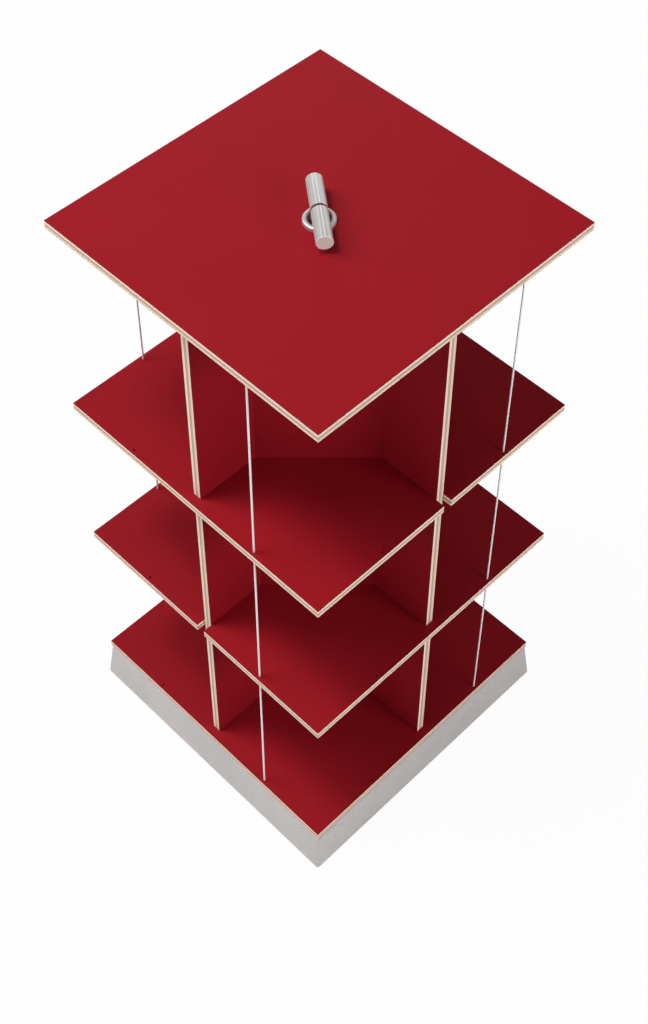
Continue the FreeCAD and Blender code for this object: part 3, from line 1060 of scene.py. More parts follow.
class NodeRecipe(Tree):
    """A Geometry Nodes tree with named inputs, one of them the material."""

    def __init__(self, name: str, **inputs: str) -> None:
        """Starts the tree.

        Args:
            name: the tree's name.
            inputs: each input's name and its socket's kind, such as Float.
        """
        super().__init__(bpy.data.node_groups.new(name, "GeometryNodeTree"))
        self.keys = {}
        for label, kind in {"Geometry": "Geometry", **inputs, "Material": "Material"}.items():
            made = self.group.interface.new_socket(label, in_out="INPUT", socket_type=f"NodeSocket{kind}")
            self.keys[label] = made.identifier
        self.group.interface.new_socket("Geometry", in_out="OUTPUT", socket_type="NodeSocketGeometry")
        self.entry = self.group.nodes.new("NodeGroupInput")

    def given(self, label: str) -> Wire:
        """The tree's own input of that name."""
        return Wire(self, self.entry.outputs[label])

    def shape_of(self, label: str) -> Wire:
        """The shape of the object that is given under a name."""
        return self.node("GeometryNodeObjectInfo", {}, {"Object": self.given(label)}, "Geometry")

    def close(self, *geometries: Wire) -> None:
        """Ends the tree with real geometry in the given material.

        Args:
            geometries: the parts of the result.
        """
        both = self.group.nodes.new("GeometryNodeJoinGeometry")
        for geometry in geometries:
            self.link(geometry, both.inputs[0])
        real = self.node("GeometryNodeRealizeInstances", {}, {"Geometry": Wire(self, both.outputs[0])})
        inputs = {"Geometry": real, "Material": self.given("Material")}
        painted = self.node("GeometryNodeSetMaterial", {}, inputs)
        self.link(painted, self.group.nodes.new("NodeGroupOutput").inputs[0])

    def bake(self, name: str, finish: bpy.types.Material, values: dict[str, object]) -> bpy.types.Mesh:
        """Runs the tree once.

        Args:
            name: the new mesh's name.
            finish: its material.
            values: a value for each other input; objects among them are used up.

        Returns:
            What the tree makes, as a plain mesh.
        """
        carrier = placed(bpy.data.meshes.new(name))
        modifier = carrier.modifiers.new("recipe", "NODES")
        modifier.node_group = self.group
        for label, value in {**values, "Material": finish}.items():
            modifier[self.keys[label]] = value
        mesh = baked(carrier, name)
        smooth(mesh)
        for value in values.values():
            if isinstance(value, bpy.types.Object):
                discard(value)
        return mesh


class RoundPattern:
    """Repeats one piece about the tower's axis."""

    def __init__(self) -> None:
        """Builds the tree: copies of the piece at equal angles about Z."""
        recipe = NodeRecipe("round_pattern", Piece="Object", Count="Int")
        count = recipe.given("Count")
        row = recipe.node("GeometryNodeMeshLine", {}, {"Count": count, "Offset": (0, 0, 0)})
        angle = recipe.node("GeometryNodeInputIndex", {}, {}) / count * FULL_TURN
        rotation = recipe.node("ShaderNodeCombineXYZ", {}, {"Z": angle})
        inputs = {"Points": row, "Instance": recipe.shape_of("Piece"), "Rotation": rotation}
        recipe.close(recipe.node("GeometryNodeInstanceOnPoints", {}, inputs))
        self.recipe = recipe

    def repeat(self, piece: bpy.types.Mesh, count: int, finish: bpy.types.Material,
               name: str) -> bpy.types.Mesh:
        """Makes the pattern.

        Args:
            piece: the first piece, in its place.
            count: how many there are in a full turn.
            finish: their material.
            name: the new mesh's name.

        Returns:
            All the pieces as one mesh.
        """
        return self.recipe.bake(name, finish, {"Piece": placed(piece), "Count": count})


class Braid:
    """Strands that wind both ways round a path and pass over and under each other."""

    def __init__(self) -> None:
        """Builds the tree: copies of the path, wound into strands and given their thickness."""
        sizes = ("Lay", "Radius", "Strand_Radius", "Core_Radius", "Rise", "Step")
        recipe = NodeRecipe("braid", Path="Object", Strands="Int", **dict.fromkeys(sizes, "Float"))
        strands = recipe.given("Strands")
        inputs = {"Curve": recipe.shape_of("Path"), "Length": recipe.given("Step")}
        core = recipe.node("GeometryNodeResampleCurve", {"mode": "LENGTH"}, inputs)
        inputs = {"Geometry": core, "Amount": strands * 2.0}
        copies = recipe.node("GeometryNodeDuplicateElements", {"domain": "SPLINE"}, inputs, "Geometry")
        number = copies.beside("Duplicate Index")
        hand = number % 2.0 * 2.0 - 1.0
        start = (number / 2.0).floor() / strands * FULL_TURN
        along = recipe.node("GeometryNodeSplineParameter", {}, {}, "Length")
        wound = along / recipe.given("Lay") * FULL_TURN
        angle = start + wound * hand
        reach = recipe.given("Radius") + (wound * strands).cosine() * hand * recipe.given("Rise")

        normal = recipe.node("GeometryNodeInputNormal", {}, {})
        side = recipe.vector("CROSS_PRODUCT", recipe.node("GeometryNodeInputTangent", {}, {}), normal)
        first = self._scaled(recipe, normal, reach * angle.cosine())
        second = self._scaled(recipe, side, reach * angle.sine())
        inputs = {"Geometry": copies, "Offset": recipe.vector("ADD", first, second)}
        braided = recipe.node("GeometryNodeSetPosition", {}, inputs)
        tubes = ((braided, "Strand_Radius"), (core, "Core_Radius"))
        recipe.close(*(self._tube(recipe, line, radius) for line, radius in tubes))
        self.recipe = recipe

    @staticmethod
    def _tube(recipe: NodeRecipe, line: Wire, radius: str) -> Wire:
        """Gives a line its thickness.

        Args:
            recipe: the tree.
            line: the line.
            radius: the name of the input for its radius.

        Returns:
            The tube.
        """
        section_inputs = {"Resolution": 6, "Radius": recipe.given(radius)}
        section = recipe.node("GeometryNodeCurvePrimitiveCircle", {}, section_inputs)
        inputs = {"Curve": line, "Profile Curve": section, "Fill Caps": True}
        return recipe.node("GeometryNodeCurveToMesh", {}, inputs)

    @staticmethod
    def _scaled(recipe: NodeRecipe, vector: Wire, scale: Wire) -> Wire:
        """A vector times a number."""
        return recipe.node("ShaderNodeVectorMath", {"operation": "SCALE"}, {0: vector, "Scale": scale})

    def lay(self, path: bpy.types.Curve, values: dict[str, float], finish: bpy.types.Material,
            name: str) -> bpy.types.Mesh:
        """Braids a cord along a path.

        Args:
            path: the curve of its middle line.
            values: the tree's sizes by name.
            finish: the strands' material.
            name: the new mesh's name.

        Returns:
            The strands and the core as one mesh.
        """
        return self.recipe.bake(name, finish, {"Path": placed(path), **values})


def bent_line(knots: list[tuple[Vector, Vector]]) -> bpy.types.Curve:
    """A smooth curve through points.

    Args:
        knots: each point with the arm of its handles, which is nothing where a straight run ends.

    Returns:
        The curve.
    """
    curve = bpy.data.curves.new("line", "CURVE")
    curve.dimensions = "3D"
    curve.resolution_u = 24
    spline = curve.splines.new("BEZIER")
    spline.bezier_points.add(len(knots) - 1)
    for point, (place, arm) in zip(spline.bezier_points, knots):
        point.handle_left_type = point.handle_right_type = "FREE"
        point.co, point.handle_left, point.handle_right = place, place - arm, place + arm
    return curve


# ------------------------------------------------------------------ handing pieces over


def hand_over(mesh: bpy.types.Mesh, finish: bpy.types.Material, body: Body, slot: Slot, *nodes: str) -> None:
    """Makes a finished piece of a mesh, in the place of the plain solids that it stands for.

    Args:
        mesh: the shape, in its place.
        finish: its material.
        body: what it moves with.
        slot: the record's slot that its finish belongs to; it is not used.
        nodes: the solids that it replaces.
    """
    name = mesh.name
    mesh.materials.clear()
    mesh.materials.append(finish)
    blank = placed(mesh, name)
    blank.modifiers.new("weigh", "WEIGHTED_NORMAL").keep_sharp = True
    piece = placed(baked(blank, name), name)
    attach(piece, body.value)
    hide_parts(*nodes)
    log.info("%s: %d faces on %s", name, len(piece.data.polygons), body.value)


def refinish(node: str, finish: bpy.types.Material) -> None:
    """Gives a solid that stays as it is a better material.

    Args:
        node: the solid's name.
        finish: the material.
    """
    for holder in frame["nodes"][node].material_slots:
        holder.material = finish
    log.info("%s: kept, finished in %s", node, finish.name)


# ------------------------------------------------------------------ sheets


@dataclass(frozen=True)
class SheetEdge:
    """The section of a laminated sheet's edge: sanded arrises and faint steps where laminate meets ply."""

    thickness: float = TowerSizes.thickness
    laminate: float = TowerSizes.laminate
    arris: float = 0.45 * MM
    arris_steps: int = 3
    step_depth: float = 0.05 * MM
    step_width: float = 0.16 * MM

    def section(self) -> list[tuple[float, float]]:
        """Works out the edge's section.

        Returns:
            Pairs of inset and height, from the lower face to the upper one.
        """
        ledge = self.step_width / 2
        lower = eased(self.arris, self.arris_steps)
        seam = ((0.0, -ledge), (self.step_depth, 0.0), (0.0, ledge))
        lower += [(depth, self.laminate + height) for depth, height in seam]
        return lower + [(depth, self.thickness - height) for depth, height in reversed(lower)]

    def blank(self, outline: list[Vector], name: str) -> bpy.types.Mesh:
        """A lying sheet of that outline, its lower face at height 0."""
        return loft([raised(inset(outline, depth), height) for depth, height in self.section()], name)

    def mark(self, mesh: bpy.types.Mesh, shaded_holes: Sequence[Vector] = (), reach: float = 0.0) -> None:
        """Stores each point's distance from the sheet's middle, while the sheet still lies at height 0.

        Args:
            mesh: the sheet.
            shaded_holes: the places of small holes whose walls are painted dark, in the laminate's edge
                colour, as painted shade.
            reach: how far such a hole's wall is from its place.
        """
        half = self.thickness / 2
        values = []
        for vertex in mesh.vertices:
            depth = vertex.co.z - half
            inside = abs(depth) < half - self.arris / 10
            # Painted shade: the walls of these holes get a depth just inside the laminate, so they take its
            # dark edge colour.
            if inside and any((vertex.co.to_2d() - spot).length < reach for spot in shaded_holes):
                depth = half - self.laminate / 2
            values.append(depth)
        mesh.attributes.new(SHEET_DEPTH, "FLOAT", "POINT").data.foreach_set("value", values)


@dataclass(frozen=True)
class Board:
    """What sets one of the tower's boards apart from the others."""

    node: str
    level: int
    housed_below: bool = False
    housed_above: bool = False
    slotted: bool = False
    quarters: int = 0
    bore: float = 15 * MM


@dataclass
class Boards:
    """The four square boards with their bores, slots and housings."""

    sizes: TowerSizes
    edge: SheetEdge
    finish: bpy.types.Material
    corner_round: float = 0.8 * MM
    rod_hole: float = 1.75 * MM
    pilot_hole: float = 1.8 * MM
    pilot_depth: float = 9 * MM
    bore_flare: float = 0.5 * MM
    hole_flare: float = 0.12 * MM
    overcut: float = 1 * MM
    plans: tuple[Board, ...] = (
        Board("base_board", 0, housed_above=True),
        Board("lower_shelf", 1, True, True, slotted=True),
        Board("upper_shelf", 2, True, True, slotted=True, quarters=1),
        Board("top_board", 3, housed_below=True, bore=18.3 * MM),
    )

    def _outline(self, plan: Board) -> list[Vector]:
        """Draws a board's plan, with its two slots where it has them.

        Args:
            plan: which board.

        Returns:
            The corners.
        """
        half, lap = self.sizes.half_side, self.sizes.lap_line
        side = self.sizes.half_sheet + self.sizes.lap_play
        corners = rectangle(-half, -half, half, half)
        if plan.slotted:
            slot = points((half, -side), (lap, -side), (lap, side), (half, side))
            corners = [*corners[:2], *slot, *corners[2:], *(-corner for corner in slot)]
        return turned(rounded(corners, self.corner_round), plan.quarters)

    def _housings(self, plan: Board, low: float, high: float) -> list[list[bpy.types.Mesh]]:
        """Makes the cutters of the grooves between two heights.

        Args:
            plan: which board.
            low: the grooves' lower height.
            high: their upper height.

        Returns:
            One list for the walls' ends and one for the dividers'.
        """
        sizes, end = self.sizes, self.sizes.half_sheet
        outer = (sizes.spine_half + sizes.play) * math.sqrt(2) - end
        inner = (sizes.spine_half - sizes.thickness - sizes.play) * math.sqrt(2) - end
        wall = points((outer, end), (end, outer), (end, inner), (inner, end))
        side = end + sizes.play
        divider = rectangle(sizes.inner_end, -side, sizes.front + sizes.play, side)
        sides = [plan.quarters + 1, plan.quarters + 3] if plan.slotted else range(len(SIDES))
        walls = [prism(turned(wall, i), low, high) for i in range(len(CORNERS))]
        return [walls, [prism(turned(divider, i), low, high) for i in sides]]

    def _rod_spots(self) -> list[Vector]:
        """Where the holes for the book stops are: two on each side."""
        line, offset = self.sizes.rod_line, self.sizes.rod_offset
        return on_each_side(points((line, offset), (line, -offset)))

    def _holes(self, plan: Board) -> list[bpy.types.Mesh]:
        """Makes the cutters of the middle bore, the rod holes and the pilot holes of the base.

        Args:
            plan: which board.

        Returns:
            The cutters.
        """
        top, ends = self.sizes.thickness, (plan.housed_below, plan.housed_above)
        low = 0.0 if plan.housed_below else top - self.sizes.rod_seat
        high = top if plan.housed_above else self.sizes.rod_seat
        holes = [borer(Vector(), plan.bore, 0, top, self.bore_flare, True, True)]
        for spot in self._rod_spots():
            holes.append(borer(spot, self.rod_hole, low, high, self.hole_flare, *ends))
        if not plan.housed_below:
            for spot in on_each_side(points((self.sizes.pilot_circle, 0))):
                holes.append(borer(spot, self.pilot_hole, 0, self.pilot_depth, self.hole_flare, True, False))
        return holes

    def build(self) -> None:
        """Makes the boards."""
        sizes, top = self.sizes, self.sizes.thickness
        for plan in self.plans:
            mesh = carved(self.edge.blank(self._outline(plan), plan.node), self._holes(plan))
            cuts = []
            if plan.housed_below:
                cuts += self._housings(plan, -self.overcut, sizes.housing)
            if plan.housed_above:
                cuts += self._housings(plan, top - sizes.housing, top + self.overcut)
            for cutters in cuts:
                mesh = carved(mesh, cutters)
            # The rod holes' walls are painted dark here, as painted shade inside them.
            self.edge.mark(mesh, self._rod_spots(), self.rod_hole + 2 * self.hole_flare)
            height = sizes.ceiling(plan.level - 1) if plan.level else sizes.base
            mesh.transform(Matrix.Translation((0, 0, height)))
            mesh.name = f"{plan.node}_dressed"
            hand_over(mesh, self.finish, Body.TOWER, Slot.BOARD, plan.node)


@dataclass(frozen=True)
class DividerPair:
    """Two opposite dividers that stand in the same tiers."""

    name: str
    nodes: tuple[str, str]
    first_tier: int
    last_tier: int
    quarters: int = 0


@dataclass
class Dividers:
    """The upright panels between the boards, some of them notched to lap through a shelf."""

    sizes: TowerSizes
    edge: SheetEdge
    finish: bpy.types.Material
    pattern: RoundPattern
    pairs: tuple[DividerPair, ...] = (
        DividerPair("east_west_tall_dividers", ("east_tall_divider", "west_tall_divider"), 0, 1),
        DividerPair("east_west_top_dividers", ("east_top_divider", "west_top_divider"), 2, 2),
        DividerPair("north_south_tall_dividers", ("north_tall_divider", "south_tall_divider"), 1, 2, 1),
        DividerPair("north_south_low_dividers", ("north_low_divider", "south_low_divider"), 0, 0, 1),
    )

    def _outline(self, pair: DividerPair, foot: float) -> list[Vector]:
        """Draws one divider's outline, with the notch of one that passes a shelf.

        Args:
            pair: which dividers.
            foot: the height that the outline starts from.

        Returns:
            The corners.
        """
        sizes = self.sizes
        height = sizes.ceiling(pair.last_tier) + sizes.housing - foot
        outline = rectangle(sizes.inner_end, 0, sizes.front, height)
        if pair.last_tier > pair.first_tier:
            low = sizes.ceiling(pair.first_tier) - foot
            high = low + sizes.thickness + sizes.lap_play
            end = sizes.lap_line + sizes.lap_play
            outline += points((sizes.inner_end, high), (end, high), (end, low), (sizes.inner_end, low))
        return outline

    def build(self) -> None:
        """Makes the pairs."""
        for pair in self.pairs:
            foot = self.sizes.floor(pair.first_tier) - self.sizes.housing
            mesh = self.edge.blank(self._outline(pair, foot), pair.name)
            self.edge.mark(mesh)
            upright = Matrix(((1, 0, 0, 0), (0, 0, -1, self.sizes.half_sheet), (0, 1, 0, foot), (0, 0, 0, 1)))
            mesh.transform(Matrix.Rotation(QUARTER_TURN * pair.quarters, 4, "Z") @ upright)
            both = self.pattern.repeat(mesh, len(pair.nodes), self.finish, f"{pair.name}_dressed")
            hand_over(both, self.finish, Body.TOWER, Slot.PANEL, *pair.nodes)


@dataclass
class Spine:
    """The square hollow core, in each tier four walls that meet the dividers at 45 degrees."""

    sizes: TowerSizes
    edge: SheetEdge
    finish: bpy.types.Material
    pattern: RoundPattern

    def build(self) -> None:
        """Makes the three tiers."""
        sizes = self.sizes
        out, up = Vector((1, 1, 0)).normalized(), Vector((0, 0, 1))
        half = (sizes.inner_end - sizes.half_sheet) / math.sqrt(2)
        for i, tier in enumerate(TIERS):
            foot = sizes.floor(i) - sizes.housing
            height = sizes.ceiling(i) + sizes.housing - foot
            mesh = self.edge.blank(rectangle(-half, 0, half, height), f"{tier}_walls")
            self.edge.mark(mesh)
            for vertex in mesh.vertices:
                vertex.co.x += math.copysign(vertex.co.z, vertex.co.x)
            place = Matrix((up.cross(out), up, out)).transposed().to_4x4()
            place.translation = out * (sizes.spine_half - sizes.thickness) + up * foot
            mesh.transform(place)
            walls = self.pattern.repeat(mesh, len(CORNERS), self.finish, f"{tier}_spine_walls_dressed")
            nodes = [f"spine_wall_{tier}_{corner}" for corner in CORNERS]
            hand_over(walls, self.finish, Body.TOWER, Slot.PANEL, *nodes)


@dataclass
class BookStops:
    """The four thin steel rods that keep books from sliding past the dividers."""

    sizes: TowerSizes
    finish: bpy.types.Material
    pattern: RoundPattern
    radius: float = 1.5 * MM
    chamfer: float = 0.4 * MM
    round_sides: int = 24

    def build(self) -> None:
        """Makes the rods."""
        sizes = self.sizes
        foot, head = sizes.floor(0) - sizes.rod_seat, sizes.ceiling(2) + sizes.rod_seat
        profile = chamfered(self.radius, foot, head, self.chamfer)
        place = Matrix.Translation((sizes.rod_line, sizes.rod_offset, 0))
        rod = lathe(profile, "rod", self.round_sides, axis=place)
        rods = self.pattern.repeat(rod, len(SIDES), self.finish, "stop_rods_dressed")
        hand_over(rods, self.finish, Body.TOWER, Slot.ROD, *(f"{side}_stop_rod" for side in SIDES))


# ------------------------------------------------------------------ handle


@dataclass
class Handle:
    """The steel bar on the tower's top, the cord that holds it and the flanged bush below it."""

    sizes: TowerSizes
    steel: bpy.types.Material
    turned_steel: bpy.types.Material
    disc_steel: bpy.types.Material
    dye: bpy.types.Material
    braid: Braid
    bar_gap: float = 0.3 * MM
    bar_half: float = 64.5 * MM
    bar_radius: float = 12.5 * MM
    bar_ease: float = 0.8 * MM
    groove_half: float = 2.3 * MM
    groove_radius: float = 8.9 * MM
    groove_ease: float = 0.3 * MM
    bush_bore: float = 16.5 * MM
    bush_sleeve: float = 18.25 * MM
    bush_rim: float = 24.5 * MM
    bush_rise: float = 7.5 * MM
    bush_round: float = 3 * MM
    bush_depth: float = 12 * MM
    bush_ease: float = 0.4 * MM
    cord_line: float = 10.75 * MM
    knot_drop: float = 4.6 * MM
    knot_radius: float = 2.7 * MM
    knot_pitch: float = 3.3 * MM
    knot_quarters: int = 6
    disc_thickness: float = 4 * MM
    disc_radius: float = 19 * MM
    disc_ease: float = 0.5 * MM
    disc_hole: float = 1.95 * MM
    round_sides: int = 96
    cord_sizes: dict[str, float] = field(default_factory=lambda: {
        "Strands": 4,
        "Lay": 15 * MM,
        "Radius": 1.18 * MM,
        "Strand_Radius": 0.56 * MM,
        "Core_Radius": 1.1 * MM,
        "Rise": 0.15 * MM,
        "Step": 1.6 * MM,
    })

    @property
    def bar_axis(self) -> float:
        """The height of the bar's axis."""
        return self.sizes.floor(3) + self.bush_rise + self.bar_gap + self.bar_radius

    @property
    def disc_foot(self) -> float:
        """The height of the disc's underside."""
        return self.sizes.base - self.disc_thickness

    def _frame(self, height: float) -> Matrix:
        """A place on the tower's axis, with X along the bar."""
        return Matrix.Translation((0, 0, height)) @ Matrix.Rotation(self.sizes.bearing, 4, "Z")

    def build_bush(self) -> None:
        """Makes the bush, whose rim lies on the top board."""
        ease, low = self.bush_ease, -self.bush_depth
        corner = self.bush_rise - self.bush_round
        profile = [(self.bush_bore, low + ease), (self.bush_bore + ease, low)]
        profile += [(self.bush_sleeve - ease, low), (self.bush_sleeve, low + ease), (self.bush_sleeve, 0)]
        profile += [(self.bush_rim - ease, 0), (self.bush_rim, ease)]
        profile += arc(self.bush_rim - self.bush_round, corner, self.bush_round, 0, 90)
        profile += arc(self.bush_bore + self.bush_round, corner, self.bush_round, 90, 180)
        place = Matrix.Translation((0, 0, self.sizes.floor(3)))
        mesh = lathe(profile, "handle_bush_dressed", self.round_sides, loop=True, axis=place)
        hand_over(mesh, self.turned_steel, Body.TOWER, Slot.HANDLE, "handle_collar")

    def build_bar(self) -> None:
        """Makes the bar with its cord groove, from pairs of place along it and radius."""
        radius, ease, rim = self.bar_radius, self.bar_ease, self.groove_ease
        half = [(self.bar_half, 0.0), (self.bar_half, radius - 2 * ease)]
        half += arc(self.bar_half - ease, radius - ease, ease, 0, 90)
        half += [(self.groove_half + 2 * rim, radius)]
        half += arc(self.groove_half + rim, radius - rim, rim, 90, 180)
        half += arc(0, self.groove_radius + self.groove_half, self.groove_half, 0, -90)
        profile = [(r, x) for x, r in half] + [(r, -x) for x, r in reversed(half[:-1])]
        along = self._frame(self.bar_axis) @ Matrix.Rotation(QUARTER_TURN, 4, "Y")
        mesh = lathe(profile, "handle_bar_dressed", self.round_sides, axis=along)
        hand_over(mesh, self.steel, Body.HANDLE, Slot.HANDLE, "handle_bar")

    def _knot(self, side: float, foot: float) -> bpy.types.Curve:
        """The middle line of a stopper knot.

        Args:
            side: its place across the bar.
            foot: its height from the bar's axis.

        Returns:
            A short coil.
        """
        turns = []
        fall = self.knot_pitch / 4
        for i in range(self.knot_quarters + 1):
            angle = QUARTER_TURN * i
            flat = Vector((math.cos(angle), math.sin(angle), 0)) * self.knot_radius
            place = flat + Vector((0, side, foot + (self.knot_quarters / 2 - i) * fall))
            turns.append((place, quarter_arm(left_of(flat).to_3d()) - Vector((0, 0, fall / 3))))
        return bent_line(turns)

    def build_cord(self) -> None:
        """Makes the cord: over the bar, down the spine and into a stopper knot at each end."""
        reach, arm = self.cord_line, quarter_arm(self.cord_line)
        foot = self.disc_foot - self.knot_drop - self.bar_axis
        hairpin = [
            (Vector((0, -reach, foot)), Vector()),
            (Vector((0, -reach, 0)), Vector((0, 0, arm))),
            (Vector((0, 0, reach)), Vector((0, arm, 0))),
            (Vector((0, reach, 0)), Vector((0, 0, -arm))),
            (Vector((0, reach, foot)), Vector()),
        ]
        lines = [bent_line(hairpin), self._knot(-reach, foot), self._knot(reach, foot)]
        meshes = [self.braid.lay(line, self.cord_sizes, self.dye, "strands") for line in lines]
        mesh = joined(meshes, "handle_cord_dressed")
        mesh.transform(self._frame(self.bar_axis))
        hand_over(mesh, self.dye, Body.HANDLE, Slot.CORD, "handle_cord")

    def build_disc(self) -> None:
        """Makes the disc that the knots pull against."""
        ease, top = self.disc_ease, self.disc_thickness
        profile = chamfered(self.disc_radius, 0.0, top, ease)
        spots = points((0, -self.cord_line), (0, self.cord_line))
        holes = [borer(spot, self.disc_hole, 0, top, ease / 2, True, True) for spot in spots]
        mesh = carved(lathe(profile, "cord_swivel_disc_dressed"), holes)
        mesh.transform(self._frame(self.disc_foot))
        hand_over(mesh, self.disc_steel, Body.HANDLE, Slot.RACE, "cord_swivel_disc")

    def build(self) -> None:
        """Makes the whole handle."""
        self.build_bush()
        self.build_bar()
        self.build_cord()
        self.build_disc()


# ------------------------------------------------------------------ plinth and turntable


@dataclass
class Plinth:
    """The cast block below the tower, flared towards the floor and hollowed for the turntable."""

    sizes: TowerSizes
    finish: bpy.types.Material
    flare: float = 8.48 * MM
    ease: float = 2 * MM
    ease_steps: int = 4
    recess: float = 155 * MM
    pit: float = 30 * MM
    pit_depth: float = 12 * MM
    plug_hole: float = 3.05 * MM
    plug_depth: float = 28 * MM
    plug_flare: float = 0.25 * MM
    rim_flare: float = 1.2 * MM

    def _half(self, height: float) -> float:
        """Half the block's side at a height."""
        return self.sizes.half_side + self.flare * (1 - height / self.sizes.plinth_height)

    def _ring(self, height: float, depth: float) -> list[Vector]:
        """Draws the block's outline at a height.

        Args:
            height: the height.
            depth: how far the outline is moved in.

        Returns:
            The points.
        """
        half = self._half(height)
        corners = rectangle(-half, -half, half, half)
        return raised(inset(rounded(corners, 2 * self.ease, self.ease_steps), depth), height)

    def _block(self) -> bpy.types.Mesh:
        """Makes the block before anything is cut into it.

        Returns:
            The mesh.
        """
        curve, top = eased(self.ease, self.ease_steps), self.sizes.plinth_height
        rings = [self._ring(height, depth) for depth, height in curve]
        rings += [self._ring(top - height, depth) for depth, height in reversed(curve)]
        return loft(rings, "plinth_dressed")

    def build(self) -> None:
        """Makes the block."""
        top, floor = self.sizes.plinth_height, self.sizes.recess_floor
        mesh = carved(self._block(), [borer(Vector(), self.recess, floor, top, self.rim_flare, False, True)])
        wells = [borer(Vector(), self.pit, floor - self.pit_depth, floor, self.rim_flare, False, True)]
        foot = floor - self.plug_depth
        for spot in on_each_side(points((self.sizes.plug_circle, 0))):
            wells.append(borer(spot, self.plug_hole, foot, floor, self.plug_flare, False, True))
        hand_over(carved(mesh, wells), self.finish, Body.PLINTH, Slot.CONCRETE, "plinth")


@dataclass(frozen=True)
class ScrewRing:
    """Four countersunk screws of the turntable."""

    node: str
    body: Body
    circle: float
    length: float
    points_up: bool


@dataclass
class Turntable:
    """The ball race below the tower: two grooved plates, a cage, its balls and the screws."""

    sizes: TowerSizes
    plate: bpy.types.Material
    ball: bpy.types.Material
    plastic: bpy.types.Material
    screw: bpy.types.Material
    plug: bpy.types.Material
    pattern: RoundPattern
    ball_circle: float = 125 * MM
    ball_radius: float = 4 * MM
    ball_count: int = 24
    ball_splits: int = 4
    head_radius: float = 3.5 * MM
    head_depth: float = 2 * MM
    screw_sides: int = 16
    thread_steps: int = 6
    crest: float = 1.75 * MM
    root: float = 1.3 * MM
    pitch: float = 1.4 * MM
    recess_half: float = 1.9 * MM
    recess_wing: float = 0.42 * MM
    recess_depth: float = 1.3 * MM
    recess_taper: float = 0.45
    plug_radius: float = 3 * MM
    plug_bore: float = 1.8 * MM
    plug_length: float = Plinth.plug_depth
    plug_ribs: int = 9
    plug_sides: int = 24
    rib_depth: float = 0.3 * MM
    rib_crest: tuple[float, float] = (0.7, 0.9)
    rings: tuple[ScrewRing, ...] = (
        ScrewRing("lower_race_screws", Body.PLINTH, TowerSizes.plug_circle, 25 * MM, False),
        ScrewRing("upper_race_screws", Body.TOWER, TowerSizes.pilot_circle, 12 * MM, True),
    )

    def _screw(self, length: float) -> bpy.types.Mesh:
        """Makes a screw with a thread and a cross recess, which points down from the flat of its head.

        Args:
            length: the length from the head's flat to the tip.

        Returns:
            The screw.
        """
        rim, steps = self.head_depth / 8, self.thread_steps
        head = ((self.head_radius - rim, 0.0), (self.head_radius, rim / 2), (self.head_radius, rim))
        rings = [[Vector()], *(circle(radius, -depth, self.screw_sides) for radius, depth in head)]
        depth, tip = self.head_depth, length - 2 * self.crest
        while depth < tip:
            rings.append(self._thread(depth, 1.0))
            depth += self.pitch / steps
        for share in (i / steps for i in range(steps)):
            rings.append(self._thread(tip + (length - tip) * share, 1 - share))
        rings.append([Vector((0, 0, -length))])
        return carved(loft(rings, "screw"), [self._cross()])

    def _thread(self, depth: float, share: float) -> list[Vector]:
        """Draws a ring of points on the thread, whose radius follows its helix.

        Args:
            depth: how far the ring is below the head's flat.
            share: how much of the full radius is left.

        Returns:
            The points.
        """
        ring = []
        for i in range(self.screw_sides):
            phase = (depth / self.pitch - i / self.screw_sides) % 1.0
            radius = self.root + (self.crest - self.root) * (1 - abs(2 * phase - 1))
            angle = FULL_TURN * i / self.screw_sides
            ring.append(Vector((radius * share * math.cos(angle), radius * share * math.sin(angle), -depth)))
        return ring

    def _cross(self) -> bpy.types.Mesh:
        """Makes the cutter of a screw's cross recess.

        Returns:
            The cutter.
        """
        wing, reach, deep = self.recess_wing, self.recess_half, self.recess_depth
        half = points((reach, -wing), (reach, wing), (wing, wing), (wing, reach))
        half += points((-wing, reach), (-wing, wing))
        outline = half + [-corner for corner in half]
        bottom = [corner * self.recess_taper for corner in outline]
        return loft([raised(bottom, -deep), raised(outline, deep / 4)], "recess")

    def build_screws(self) -> None:
        """Makes both rings of screws."""
        for ring in self.rings:
            mesh = self._screw(ring.length)
            height = self.sizes.recess_floor + self.sizes.race_plate
            if ring.points_up:
                mesh.transform(Matrix.Rotation(math.pi, 4, "X"))
                height = self.sizes.base - self.sizes.race_plate
            mesh.transform(Matrix.Translation((ring.circle, 0, height)))
            screws = self.pattern.repeat(mesh, len(SIDES), self.screw, f"{ring.node}_dressed")
            hand_over(screws, self.screw, ring.body, Slot.SCREW, ring.node)

    def build_balls(self) -> None:
        """Makes the balls."""
        bm = bmesh.new()
        height = (self.sizes.recess_floor + self.sizes.base) / 2
        place = Matrix.Translation((self.ball_circle, 0, height))
        bmesh.ops.create_icosphere(
            bm, subdivisions=self.ball_splits, radius=self.ball_radius, matrix=place
        )
        ball = to_mesh(bm, "ball")
        balls = self.pattern.repeat(ball, self.ball_count, self.ball, "turntable_balls_dressed")
        hand_over(balls, self.ball, Body.BALL_RACE, Slot.BALL, "turntable_balls")

    def build_plugs(self) -> None:
        """Makes the ribbed plugs that the lower screws bite into."""
        step, radius = self.plug_length / self.plug_ribs, self.plug_radius
        profile = [(self.plug_bore, 0.0)]
        for i in range(self.plug_ribs):
            profile += [(radius - self.rib_depth, i * step)]
            profile += [(radius, (i + share) * step) for share in self.rib_crest]
        profile += [(radius, self.plug_length), (self.plug_bore, self.plug_length)]
        foot = self.sizes.recess_floor - self.plug_length
        place = Matrix.Translation((self.sizes.plug_circle, 0, foot))
        plug = lathe(profile, "plug", self.plug_sides, loop=True, axis=place)
        plugs = self.pattern.repeat(plug, len(SIDES), self.plug, "plugs_dressed")
        hand_over(plugs, self.plug, Body.PLINTH, Slot.PLUG, "lower_race_plugs")

